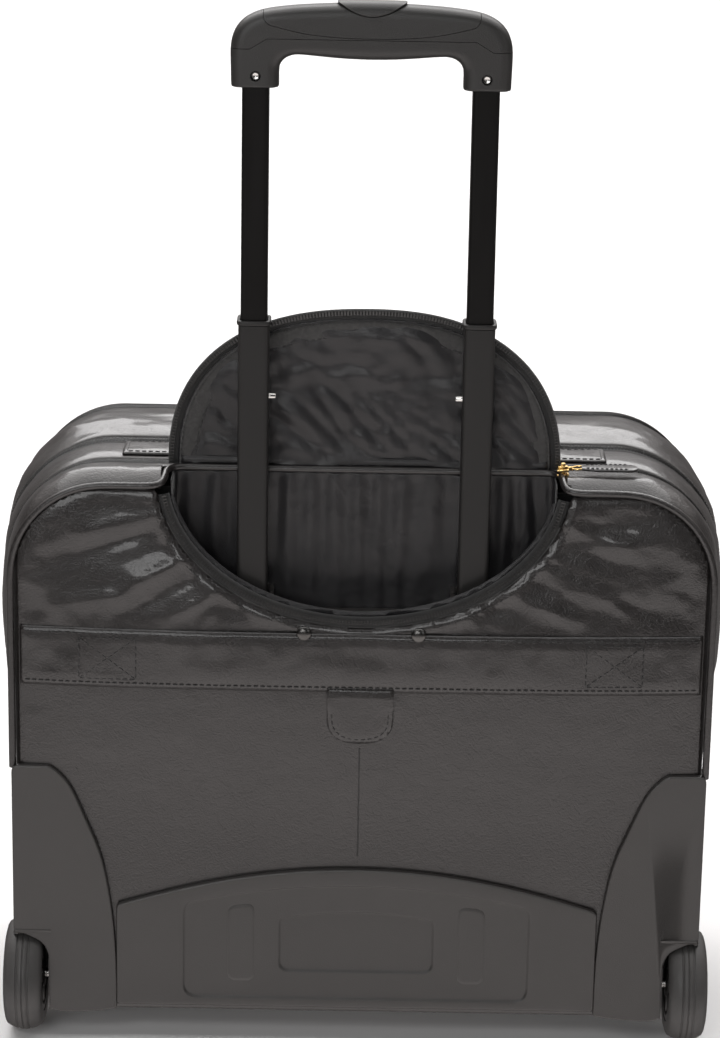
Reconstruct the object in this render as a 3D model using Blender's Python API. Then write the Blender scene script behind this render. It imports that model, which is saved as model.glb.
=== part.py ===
"""Rolling laptop case with a two-stage pull handle. One closed solid for each sub-part, in metres, +Z up.

The rear, where the wheels and the pull handle are, faces -Y. Depths are measured forward from the rear panel.
"""

import math

import bmesh
import bpy
from mathutils import Vector

# Case shell
CASE_DEPTH = 0.190
HALF_WIDTH = 0.2125
SIDE_BULGE = 0.0165
BULGE_START_Z = 0.189
CORNER_RADIUS = 0.055
TOP_Z = 0.369
REAR_TOP_Z = 0.362
REAR_ROLL = 0.020
BOTTOM_Z = 0.020
FOLD_Z = 0.175
SKIN = 0.0025
BOARD = 0.0025
GAP = 0.0003
LOOSE = 0.0006

# Strips and zips of the top and sides, from the rear to the front
REAR_STRIP_END = 0.038
LAPTOP_TAPE = 0.004
MIDDLE_STRIP = 0.038
MAIN_TAPE = 0.0068
FRONT_STRIP = 0.0725
FRONT_TAPE = 0.004
TAPE_SKIN = 0.0018

# Trolley bay: the arched opening in the rear panel and the flap that closes it
ARCH_Z = 0.371
OPENING_HALF = 0.121
OPENING_DROP = 0.088
BAY_DEPTH = 0.0305
FLAP_HALF = 0.1195
FLAP_RISE = 0.098
FLAP_POWER = 2.35
FLAP_HINGE_DEPTH = 0.0342
FLAP_HINGE_Z = 0.370
ZIP_BAND = 0.0045
PIPING_RADIUS = 0.0022

# Pull handle
TUBE_SPACING = 0.1355
TUBE_DEPTH = 0.016
INNER_TUBE = 0.016
LOWER_TUBE = 0.0186
WALL = 0.0009
SLIDING_FIT = 0.0004
COLLAR = 0.0206
COLLAR_HEIGHT = 0.014
COLLAR_TOP_Z = 0.466
FIXED_TUBE_BOTTOM_Z = 0.045
BRACKET_TOP_Z = 0.295
LOWER_TUBE_BOTTOM_Z = 0.216
INNER_TUBE_BOTTOM_Z = 0.390
GRIP_BOTTOM_Z = 0.606
GRIP_TOP_Z = 0.657
GRIP_HALF = 0.0840
GRIP_LEG = 0.0295
GRIP_THICKNESS = 0.022
GRIP_SEAM_Z = 0.639
GRIP_UNDERSIDE_Z = 0.6235
COVER_HALF = 0.0635
BUTTON_HALF = 0.021
LOCK_PIN_Z = 0.418
LOCK_PIN_RADIUS = 0.0019
LOCK_PIN_OUT = 0.0045
LOWER_TRAVEL = 0.156
BUTTON_TRAVEL = 0.004
SCREW_Z = 0.613
SCREW_RADIUS = 0.0030

# Wheels, guards and base
WHEEL_RADIUS = 0.036
WHEEL_PROUD = 0.020
WHEEL_WIDTH = 0.025
WHEEL_INNER_X = 0.1972
HUB_RADIUS = 0.024
AXLE_RADIUS = 0.003
ARCH_CLEARANCE = 0.004
GUARD_TOP_Z = 0.184
GUARD_HALF = 0.2156
GUARD_INNER_X = 0.1515
GUARD_BOTTOM_Z = 0.0175
WELL_X = 0.189
WELL_TOP_Z = 0.083
WELL_END = 0.063
GUARD_FLARE = 0.004
MOULDING = 0.0037
BASE_HALF = 0.151
BASE_BOTTOM_Z = 0.024
BASE_SIDE_Z = 0.092
BASE_TOP_Z = 0.118

# Rear band, tab and snaps
BAND_HALF = 0.2095
BAND_TOP_Z = 0.275
BAND_BOTTOM_Z = 0.237
BAND_LEATHER = 0.0018
BAND_SEWN = 0.0715
BAND_LIFT = 0.0022
TAB_HALF = 0.0205
TAB_BOTTOM_Z = 0.203
SNAP_X = 0.035
SNAP_Z = 0.2745
SNAP_RADIUS = 0.0042

# Carry handle
HANDLE_HALF = 0.070
HANDLE_REACH = 0.024
HANDLE_THICK = 0.009
HANDLE_ROOT = 0.006
HANDLE_PIVOT_DEPTH = 0.066
HANDLE_PIVOT_Z = 0.3782

REAR_Y = -(CASE_DEPTH - WHEEL_PROUD) / 2
AXLE_DEPTH = WHEEL_RADIUS - WHEEL_PROUD
STEPS = 6


# ---------------------------------------------------------------- helpers


def point(x, depth, z):
    """A place given by its side, its depth from the rear panel and its height."""
    return Vector((x, REAR_Y + depth, z))


def material(name, colour, roughness, metallic=0.0):
    made = bpy.data.materials.new(name)
    made.use_nodes = True
    shader = made.node_tree.nodes["Principled BSDF"]
    shader.inputs["Base Color"].default_value = (*colour, 1.0)
    shader.inputs["Roughness"].default_value = roughness
    shader.inputs["Metallic"].default_value = metallic
    return made


def joint(name, pivot, parent=None):
    """An empty on a joint's axis, which carries the pieces that move with it."""
    empty = bpy.data.objects.new(name, None)
    bpy.context.collection.objects.link(empty)
    empty.parent = parent
    empty["pivot"] = list(pivot)
    empty.location = Vector(pivot) - carried_by(parent)
    return empty


def carried_by(parent):
    return Vector(parent["pivot"]) if parent else Vector((0, 0, 0))


def loft(name, rings, body, look, wrap=False):
    """A closed solid through rings with the same number of points, capped at its ends unless it wraps."""
    mesh = bpy.data.meshes.new(name)
    work = bmesh.new()
    rows = [[work.verts.new(place) for place in ring] for ring in rings]
    pairs = list(zip(rows, rows[1:]))
    if wrap:
        pairs.append((rows[-1], rows[0]))
    else:
        work.faces.new(rows[0])
        work.faces.new(rows[-1])
    for near, far in pairs:
        for k in range(len(near)):
            after = (k + 1) % len(near)
            work.faces.new((near[k], near[after], far[after], far[k]))
    bmesh.ops.recalc_face_normals(work, faces=work.faces)
    low = Vector([min(v.co[i] for v in work.verts) for i in range(3)])
    high = Vector([max(v.co[i] for v in work.verts) for i in range(3)])
    centre = (low + high) / 2
    bmesh.ops.translate(work, verts=work.verts, vec=-centre)
    work.to_mesh(mesh)
    work.free()
    made = bpy.data.objects.new(name, mesh)
    bpy.context.collection.objects.link(made)
    made.parent = body
    made.location = centre - carried_by(body)
    if look:
        mesh.materials.append(look)
    return made


def slab(name, outline, near, far, body, look):
    """An outline of (x, z) points carried from one depth to another."""
    return loft(name, [[point(x, depth, z) for x, z in outline] for depth in (near, far)], body, look)


def plank(name, outline, low, high, body, look):
    """An outline of (x, depth) points carried from one height to another."""
    return loft(name, [[point(x, depth, z) for x, depth in outline] for z in (low, high)], body, look)


def box(name, xs, depths, zs, body, look):
    corners = [(xs[0], zs[0]), (xs[1], zs[0]), (xs[1], zs[1]), (xs[0], zs[1])]
    return slab(name, corners, *depths, body, look)


def turned(name, profile, centre, axis, body, look, segments=24):
    """A profile of (radius, along) points turned about an axis through the centre."""
    along = Vector(axis)
    side = along.orthogonal().normalized()
    up = along.cross(side)
    rings = []
    for k in range(segments):
        angle = math.tau * k / segments
        out = side * math.cos(angle) + up * math.sin(angle)
        rings.append([centre + out * radius + along * reach for radius, reach in profile])
    return loft(name, rings, body, look, wrap=True)


def rounded_square(side, radius, steps=3):
    """The corner points of a square with round corners."""
    places = []
    flat = side / 2 - radius
    for corner in range(4):
        turn = math.pi / 2 * corner
        mid = Vector((math.cos(turn + math.pi / 4), math.sin(turn + math.pi / 4))) * flat * math.sqrt(2)
        for k in range(steps):
            angle = turn + math.pi / 2 * k / (steps - 1)
            places.append(mid + Vector((math.cos(angle), math.sin(angle))) * radius)
    return places


def sleeve(name, outside, inside, x, low, high, body, look):
    """A square tube with round corners and walls between two sizes."""
    outer = rounded_square(outside, outside / 5)
    inner = rounded_square(inside, inside / 5)
    rings = []
    for out, hollow in zip(outer, inner):
        rings.append(
            [
                point(x + out.x, TUBE_DEPTH + out.y, low),
                point(x + out.x, TUBE_DEPTH + out.y, high),
                point(x + hollow.x, TUBE_DEPTH + hollow.y, high),
                point(x + hollow.x, TUBE_DEPTH + hollow.y, low),
            ]
        )
    return loft(name, rings, body, look, wrap=True)


def shape(target, other, operation):
    """Cuts or adds another solid, which stays in the file as a hidden helper."""
    other.hide_render = True
    other.hide_viewport = False
    other.display_type = "WIRE"
    step = target.modifiers.new(operation.title(), "BOOLEAN")
    step.object = other
    step.operation = operation
    step.solver = "EXACT"


def cut(target, other):
    shape(target, other, "DIFFERENCE")


def add(target, other):
    shape(target, other, "UNION")


def half_width(depth, z):
    """Half the width of the soft sides, which bulge between the guards and the top corners."""
    along = math.sin(0.9 * math.pi * depth / CASE_DEPTH)
    rise = max(0.0, min(1.0, (z - BULGE_START_Z) / (TOP_Z - BULGE_START_Z)))
    return HALF_WIDTH + SIDE_BULGE * along * math.sin(math.pi * rise**0.8)


def top_height(depth):
    """The top rises from the rear panel's edge over a soft roll."""
    left = 1 - min(1.0, depth / REAR_ROLL)
    return TOP_Z - (TOP_Z - REAR_TOP_Z) * left**2


def outline(depth, end_z, inset=0.0):
    """The case's arched outline at a depth, from its right end over the top to its left end."""
    top = top_height(depth) - CORNER_RADIUS
    right = [(HALF_WIDTH - inset, end_z)]
    for k in range(STEPS):
        z = BULGE_START_Z + (top - BULGE_START_Z) * k / STEPS
        right.append((half_width(depth, z) - inset, z))
    for k in range(STEPS + 1):
        angle = math.pi / 2 * k / STEPS
        z = top + CORNER_RADIUS * math.sin(angle)
        x = half_width(depth, z) - CORNER_RADIUS * (1 - math.cos(angle))
        right.append((x - inset * math.cos(angle), z - inset * math.sin(angle)))
    return right + [(-x, z) for x, z in reversed(right)]


def arched_band(name, depths, end_z, skin, body, look):
    """A strip that runs up one side, over the top and down the other."""
    outer = [outline(depth, end_z) for depth in depths]
    inner = [outline(depth, end_z, skin) for depth in depths]
    rings = []
    for k in range(len(outer[0])):
        ring = [point(line[k][0], depth, line[k][1]) for line, depth in zip(outer, depths)]
        ring += [point(line[k][0], depth, line[k][1]) for line, depth in reversed(list(zip(inner, depths)))]
        rings.append(ring)
    return loft(name, rings, body, look)


def arch(half, rise, power, steps=20):
    """Points of half an ellipse, or of a fuller arch for a power above two, from right to left."""
    places = []
    for k in range(steps + 1):
        angle = math.pi * k / steps
        across = math.copysign(abs(math.cos(angle)) ** (2 / power), math.cos(angle))
        places.append((half * across, rise * abs(math.sin(angle)) ** (2 / power)))
    return places


def mirrored(places):
    return [(-x, z) for x, z in reversed(places)]


# ---------------------------------------------------------------- sub-parts


def rear_panel(case, leather):
    """The rear panel, open at the top where the pull handle comes out, with corners cut out for the wheels."""
    edge = outline(0, WELL_TOP_Z + GAP)
    half = len(edge) // 2
    margin = ZIP_BAND + GAP
    hole = arch(OPENING_HALF + margin, -(OPENING_DROP + margin), 2)
    hole = [(x, ARCH_Z + z) for x, z in hole if ARCH_Z + z < REAR_TOP_Z]
    edge_x = OPENING_HALF + margin - 0.0005
    foot = WELL_X - GAP
    around = [(foot, BOTTOM_Z), (foot, WELL_TOP_Z + GAP)] + edge[:half] + [(edge_x, REAR_TOP_Z)]
    around += hole + [(-edge_x, REAR_TOP_Z)] + edge[half:] + [(-foot, WELL_TOP_Z + GAP), (-foot, BOTTOM_Z)]
    slab("rear_panel", around, 0, BOARD, case, leather)


def strips(case, middle, front, lid, leather, tape):
    """The leather strips of the top and sides, with the two tapes of each zip between them."""
    start = BOARD + GAP
    rear = arched_band("rear_gusset", [start, 0.010, REAR_ROLL, REAR_STRIP_END], WELL_TOP_Z + GAP, SKIN, case, leather)
    mouth = OPENING_HALF + SKIN + LOOSE
    cut(rear, box("bay_mouth", (-mouth, mouth), (-SKIN, BAY_DEPTH), (FLAP_HINGE_Z - 0.03, TOP_Z + SKIN), case, None))
    depth = REAR_STRIP_END + GAP
    bands = (
        ("laptop_zip_rear", LAPTOP_TAPE, case, tape),
        ("laptop_zip_front", LAPTOP_TAPE, middle, tape),
        ("middle_gusset", MIDDLE_STRIP, middle, leather),
        ("main_zip_rear", MAIN_TAPE, middle, tape),
        ("main_zip_front", MAIN_TAPE, front, tape),
        ("front_gusset", FRONT_STRIP, front, leather),
        ("front_zip_rear", FRONT_TAPE, front, tape),
        ("front_zip_front", FRONT_TAPE, lid, tape),
    )
    for name, width, body, look in bands:
        skin = TAPE_SKIN if look == tape else SKIN
        made = arched_band(name, [depth, depth + width], FOLD_Z + GAP, skin, body, look)
        if look == leather:
            skirts(made, depth, width, body)
        depth += width + GAP
    return depth


def skirts(band, depth, width, body):
    """Tongues below a strip's ends that stay inside the tray's sides as the section tips forward."""
    outside = HALF_WIDTH - SKIN - LOOSE
    inside = outside - SKIN
    low = FOLD_Z - 0.034
    step = FOLD_Z + 2 * GAP
    lap = FOLD_Z + 0.010
    profile = [(inside, low), (outside, low), (outside, step), (HALF_WIDTH - LOOSE, step)]
    profile += [(HALF_WIDTH - LOOSE, lap), (inside, lap)]
    for side, places in (("right", profile), ("left", mirrored(profile))):
        add(band, slab(f"{band.name}_skirt_{side}", places, depth + 0.008, depth + width - 0.001, body, None))


def front_panel(depth, lid, leather):
    """The padded front panel, which folds down in front about its lower edge."""
    rings = []
    steps = ((depth, 0.0), (CASE_DEPTH - 0.003, 0.0), (CASE_DEPTH, 0.005))
    for at, inset in steps:
        rings.append([point(x, at, z) for x, z in outline(at, FOLD_Z + GAP, inset)])
    loft("front_panel", rings, lid, leather)


def tray(case, leather):
    """The lower part of the soft body: floor, sides and front, with steps over the wheel wells."""
    side = HALF_WIDTH
    made = box("lower_tray", (-side, side), (BOARD + GAP, CASE_DEPTH), (BOTTOM_Z, FOLD_Z - GAP), case, leather)
    floor = BOTTOM_Z + SKIN
    hollow = box("tray_hollow", (SKIN - side, side - SKIN), (-SKIN, CASE_DEPTH - SKIN), (floor, TOP_Z), case, None)
    for sign in (-1, 1):
        well_box("tray_well", sign, GAP, case, made)
        well_box("tray_well_wall", sign, SKIN, case, hollow)
    cut(made, hollow)
    behind = (-SKIN, REAR_STRIP_END + GAP)
    cut(made, box("tray_back", (-side - SKIN, side + SKIN), behind, (floor, TOP_Z), case, None))


def well_box(name, sign, margin, case, target):
    """The space of a wheel housing, taken out of a piece."""
    near = sign * (WELL_X - margin)
    far = sign * (GUARD_HALF + GUARD_FLARE + SKIN)
    xs = (min(near, far), max(near, far))
    cut(target, box(name, xs, (-SKIN, WELL_END + margin), (0, WELL_TOP_Z + margin), case, None))


def boards(case, board):
    """The stiff rear board and the two padded dividers that stand in the tray."""
    side = HALF_WIDTH - SKIN - 0.005
    foot = WELL_X - SKIN - 0.003
    low = BOTTOM_Z + SKIN + GAP
    high = TOP_Z - SKIN - 0.012
    step = WELL_TOP_Z + SKIN + 0.003
    notched = [(foot, low), (foot, step)] + round_top(side, step, high) + [(-foot, step), (-foot, low)]
    slab("rear_board", notched, 0.0335, 0.0335 + BOARD, case, board)
    slab("laptop_divider", notched, 0.0670, 0.0670 + BOARD, case, board)
    side -= 0.006
    slab("front_divider", round_top(side, low, high), 0.1600, 0.1600 + BOARD, case, board)


def round_top(half, low, high):
    """An outline with two sides and round top corners, from its right foot to its left foot."""
    right = [(half, low)]
    for k in range(STEPS + 1):
        angle = math.pi / 2 * k / STEPS
        across = half - CORNER_RADIUS * (1 - math.cos(angle))
        right.append((across, high - CORNER_RADIUS * (1 - math.sin(angle))))
    return right + mirrored(right)


def bay(case, lining, tape, leather):
    """The lined pocket that the pull handle sinks into, its zip tape and the piping round the rear panel."""
    side = OPENING_HALF - 0.003
    low = 0.2730
    back = 0.0310
    outer = (-side, side), (BOARD + 0.001, back + 0.001), (low, TOP_Z - 0.004)
    pan = box("bay_lining", *outer, case, lining)
    hollow = (0.001 - side, side - 0.001), (-SKIN, back), (low + 0.001, TOP_Z + SKIN)
    cut(pan, box("bay_hollow", *hollow, case, None))
    reach = LOWER_TUBE / 2 + LOCK_PIN_OUT + GAP
    for sign in (-1, 1):
        middle = sign * TUBE_SPACING / 2
        hole = (middle - reach, middle + reach), (TUBE_DEPTH - reach, TUBE_DEPTH + reach), (low - SKIN, low + SKIN)
        cut(pan, box("bay_tube_hole", *hole, case, None))
    inner = [(x, ARCH_Z + z) for x, z in arch(OPENING_HALF, -OPENING_DROP, 2)[2:-2]]
    outer = arch(OPENING_HALF + ZIP_BAND, -(OPENING_DROP + ZIP_BAND), 2)[2:-2]
    outer = [(x, ARCH_Z + z) for x, z in outer]
    rings = []
    for near, far in zip(inner, outer):
        rings.append([point(near[0], d, near[1]) for d in (0.0004, 0.0020)])
        rings[-1] += [point(far[0], d, far[1]) for d in (0.0020, 0.0004)]
    loft("bay_zip", rings, case, tape)
    piping(case, leather)


def piping(case, leather):
    """A covered cord up one side, round the corner, along the bay's mouth and back down the other side."""
    out = PIPING_RADIUS + GAP
    edge = outline(0, GUARD_TOP_Z + 0.002, -out)
    proud = BOARD - PIPING_RADIUS - GAP / 2
    right = [point(x, proud, z) for x, z in edge[: len(edge) // 2]]
    mouth = OPENING_HALF
    across = BAY_DEPTH - PIPING_RADIUS - 0.0004
    rim = TOP_Z + 0.0002
    right.append(point(mouth + 0.006, proud, REAR_TOP_Z + out))
    right.append(point(mouth + 0.002, proud, REAR_TOP_Z + out))
    right.append(point(mouth + 0.0002, 0.0018, REAR_TOP_Z + out + 0.0006))
    right.append(point(mouth, 0.0080, TOP_Z - 0.0020))
    right.append(point(mouth, across - 0.006, rim))
    right.append(point(mouth - 0.002, across - 0.0015, rim))
    right.append(point(mouth - 0.007, across, rim))
    left = [Vector((-place.x, place.y, place.z)) for place in reversed(right)]
    swept("rear_piping", right + left, PIPING_RADIUS, case, leather)


def swept(name, route, radius, body, look, sides=6):
    """A round cord along a route."""
    rings = []
    last = None
    for k, place in enumerate(route):
        ahead = (route[min(k + 1, len(route) - 1)] - route[max(k - 1, 0)]).normalized()
        out = last - ahead * last.dot(ahead) if last else ahead.cross(Vector((0, 1, 0)))
        out.normalize()
        last = out
        up = ahead.cross(out)
        turns = [math.tau * j / sides for j in range(sides)]
        rings.append([place + (out * math.cos(turn) + up * math.sin(turn)) * radius for turn in turns])
    return loft(name, rings, body, look)


def flap(hinge, leather, lining, tape):
    """The bay's cover, standing up on its hinge seam: leather outside, satin inside, zip tape round the edge."""
    low = FLAP_HINGE_Z + GAP
    inset = ZIP_BAND + GAP
    face = arch(FLAP_HALF - inset, FLAP_RISE - inset, FLAP_POWER)
    rim = arch(FLAP_HALF, FLAP_RISE, FLAP_POWER)
    inner = arch(FLAP_HALF - ZIP_BAND, FLAP_RISE - ZIP_BAND, FLAP_POWER)
    front = FLAP_HINGE_DEPTH - GAP
    split = front - 0.0018
    slab("flap_panel", [(x, low + z) for x, z in face], split, front, hinge, leather)
    slab("flap_lining", [(x, low + z) for x, z in face], split - GAP - 0.001, split - GAP, hinge, lining)
    rings = []
    for near, far in zip(inner, rim):
        ring = [point(near[0], d, low + near[1]) for d in (split - 0.0006, front - 0.0006)]
        rings.append(ring + [point(far[0], d, low + far[1]) for d in (front - 0.0006, split - 0.0006)])
    loft("flap_zip", rings, hinge, tape)


def bay_slider(case, puller, brass, leather):
    """The gold slider parked at the right end of the bay's zip, with its ring and leather pull."""
    side = OPENING_HALF - 0.0035
    low = TOP_Z + 0.0030
    body = [(side, low), (side + 0.0075, low), (side + 0.0075, low + 0.0035), (side + 0.005, low + 0.0050)]
    body += [(side + 0.0015, low + 0.0050), (side, low + 0.0035)]
    slab("bay_slider", body, 0.0200, 0.0285, case, brass)
    start = side + 0.0075 + GAP
    link = 0.0215, 0.0275
    pull = box("bay_puller", (start, start + 0.0075), link, (low + 0.0006, low + 0.0022), puller, leather)
    tab = (start + 0.0055, start + 0.0415), (0.0180, 0.0310), (low, low + 0.0018)
    add(pull, box("puller_tab", *tab, puller, None))
    cut(pull, box("puller_eye", (start + 0.0022, start + 0.0050), (0.0230, 0.0260), (low - SKIN, low + SKIN), puller, None))


def rear_trim(case, leather, steel):
    """The horizontal band that makes a slip pocket, the tab below it and the two snaps at its top edge."""
    sewn = BAND_HALF - BAND_SEWN
    lift = sewn - 0.012
    near = -GAP - BAND_LEATHER
    line = [(-BAND_HALF, near), (-sewn, near), (-lift, near - BAND_LIFT), (lift, near - BAND_LIFT)]
    line += [(sewn, near), (BAND_HALF, near)]
    back = [(x, depth + BAND_LEATHER) for x, depth in reversed(line)]
    plank("rear_band", line + back, BAND_BOTTOM_Z, BAND_TOP_Z, case, leather)
    curve = TAB_HALF * 0.8
    tongue = [(x, TAB_BOTTOM_Z + curve + z) for x, z in arch(TAB_HALF, -curve, 2.6, 10)]
    tongue += [(-TAB_HALF, BAND_BOTTOM_Z + 0.004), (TAB_HALF, BAND_BOTTOM_Z + 0.004)]
    slab("band_tab", tongue, -GAP - BAND_LEATHER, -GAP, case, leather)
    dome = [(0.0008, 0), (SNAP_RADIUS, 0), (SNAP_RADIUS, 0.0008), (SNAP_RADIUS * 0.6, 0.0016), (0.0008, 0.0016)]
    for name, sign in (("snap_left", -1), ("snap_right", 1)):
        turned(name, dome, point(sign * SNAP_X, -GAP, SNAP_Z), (0, -1, 0), case, steel, 16)


def base_plate(case, plastic):
    """The moulded plate over the rear's lower middle, with an arched top and two stepped recesses."""
    crown = arched_top(BASE_HALF, BASE_SIDE_Z, BASE_TOP_Z, BASE_BOTTOM_Z)
    made = slab("base_plate", crown, -GAP - MOULDING, -GAP, case, plastic)
    recess = arched_top(0.109, BASE_SIDE_Z + 0.001, BASE_TOP_Z - 0.013, BASE_BOTTOM_Z + 0.005)
    cut(made, slab("base_recess", recess, -0.010, -GAP - MOULDING + 0.0014, case, None))
    inner = (-0.049, 0.049), (-0.010, -GAP - MOULDING + 0.0024), (0.047, 0.087)
    cut(made, box("base_inner_recess", *inner, case, None))


def arched_top(half, side_z, top_z, low, steps=8):
    """An outline with a flat foot and a top that rises as one shallow arc."""
    places = [(-half, low), (half, low)]
    for k in range(steps + 1):
        x = half - 2 * half * k / steps
        places.append((x, side_z + (top_z - side_z) * (1 - (x / half) ** 2)))
    return places


def guards(case, plastic):
    """The two moulded corner guards, each with the housing that its wheel turns in."""
    for name, sign in (("wheel_guard_left", -1), ("wheel_guard_right", 1)):
        edge = []
        for k in range(STEPS + 1):
            angle = math.pi / 2 * k / STEPS
            edge.append((0.1925 - 0.037 * math.sin(angle), GUARD_TOP_Z - 0.080 * (1 - math.cos(angle))))
        face = [(GUARD_INNER_X, GUARD_BOTTOM_Z), (WELL_X + 0.0045, GUARD_BOTTOM_Z), (WELL_X + 0.0045, WELL_TOP_Z)]
        face += [(GUARD_HALF, WELL_TOP_Z), (GUARD_HALF, GUARD_TOP_Z - 0.004), (GUARD_HALF - 0.004, GUARD_TOP_Z)]
        face += edge
        face = face if sign > 0 else mirrored(face)
        made = slab(name, face, -GAP - MOULDING, -GAP, case, plastic)
        side = sorted((sign * (HALF_WIDTH + GAP), sign * GUARD_HALF))
        add(made, box("guard_side", side, (-GAP - MOULDING, 0.062), (WELL_TOP_Z - 0.02, GUARD_TOP_Z - 0.004), case, None))
        block = sorted((sign * WELL_X, sign * (GUARD_HALF + GUARD_FLARE)))
        add(made, box("guard_housing", block, (-GAP - MOULDING, WELL_END), (GUARD_BOTTOM_Z, WELL_TOP_Z), case, None))
        inner = WELL_X + 0.005
        room = [(0, 0), (WHEEL_RADIUS + ARCH_CLEARANCE, 0), (WHEEL_RADIUS + ARCH_CLEARANCE, 0.04), (0, 0.04)]
        rod("guard_arch", WHEEL_RADIUS + ARCH_CLEARANCE, sign * inner, sign * (inner + 0.04), case, None, made, 32)
        rod("guard_axle_hole", AXLE_RADIUS + GAP, sign * (WELL_X - 0.01), sign * (inner + 0.01), case, None, made, 16)


def rod(name, radius, from_x, to_x, case, look, target=None, segments=24):
    """A cylinder across the case on the wheels' axis, cut out of a target if there is one."""
    rings = []
    for x in (from_x, to_x):
        turns = [math.tau * k / segments for k in range(segments)]
        rings.append(
            [point(x, AXLE_DEPTH + radius * math.cos(t), WHEEL_RADIUS + radius * math.sin(t)) for t in turns]
        )
    made = loft(name, rings, case, look)
    if target:
        cut(target, made)
    return made


def wheels(case, left, right, rubber, plastic, steel):
    """Each wheel is a hard hub with a moulded tread, on a steel axle held in its guard."""
    for side, sign, body in (("left", -1, left), ("right", 1, right)):
        start = point(sign * WHEEL_INNER_X, AXLE_DEPTH, WHEEL_RADIUS)
        out = (sign, 0, 0)
        tread = HUB_RADIUS + GAP
        crown = [(0.0062, 0), (0.0028, 0.0022), (0.0008, 0.0070), (0, 0.0115)]
        tyre = [(tread, 0)] + [(WHEEL_RADIUS - drop, along) for drop, along in crown]
        tyre += [(WHEEL_RADIUS - drop, WHEEL_WIDTH - along) for drop, along in reversed(crown)]
        tyre.append((tread, WHEEL_WIDTH))
        turned(f"tyre_{side}", tyre, start, out, body, rubber, 36)
        bore = AXLE_RADIUS + GAP
        hub = [(bore, 0.0005), (0.009, 0.0005), (0.010, 0.004), (0.019, 0.004), (0.020, 0.001), (HUB_RADIUS, 0.001)]
        hub += [(HUB_RADIUS, WHEEL_WIDTH - 0.001), (0.020, WHEEL_WIDTH - 0.001), (0.019, WHEEL_WIDTH - 0.004)]
        hub += [(0.010, WHEEL_WIDTH - 0.004), (0.009, WHEEL_WIDTH - 0.0005), (bore, WHEEL_WIDTH - 0.0005)]
        turned(f"hub_{side}", hub, start, out, body, plastic, 24)
        end = WHEEL_WIDTH + GAP
        pin = [(0.0005, -0.0065), (AXLE_RADIUS, -0.0065), (AXLE_RADIUS, end), (0.0055, end), (0.0050, end + 0.0018)]
        pin.append((0.0005, end + 0.0018))
        turned(f"axle_{side}", pin, start, out, case, steel, 12)


def feet(case, rubber):
    """Two rubber feet under the front edge, level with the wheels."""
    for name, sign in (("front_foot_left", -1), ("front_foot_right", 1)):
        middle = sign * 0.160
        sole = [(middle - 0.018, 0), (middle + 0.018, 0), (middle + 0.022, BOTTOM_Z - GAP), (middle - 0.022, BOTTOM_Z - GAP)]
        slab(name, sole, 0.146, 0.172, case, rubber)


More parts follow.
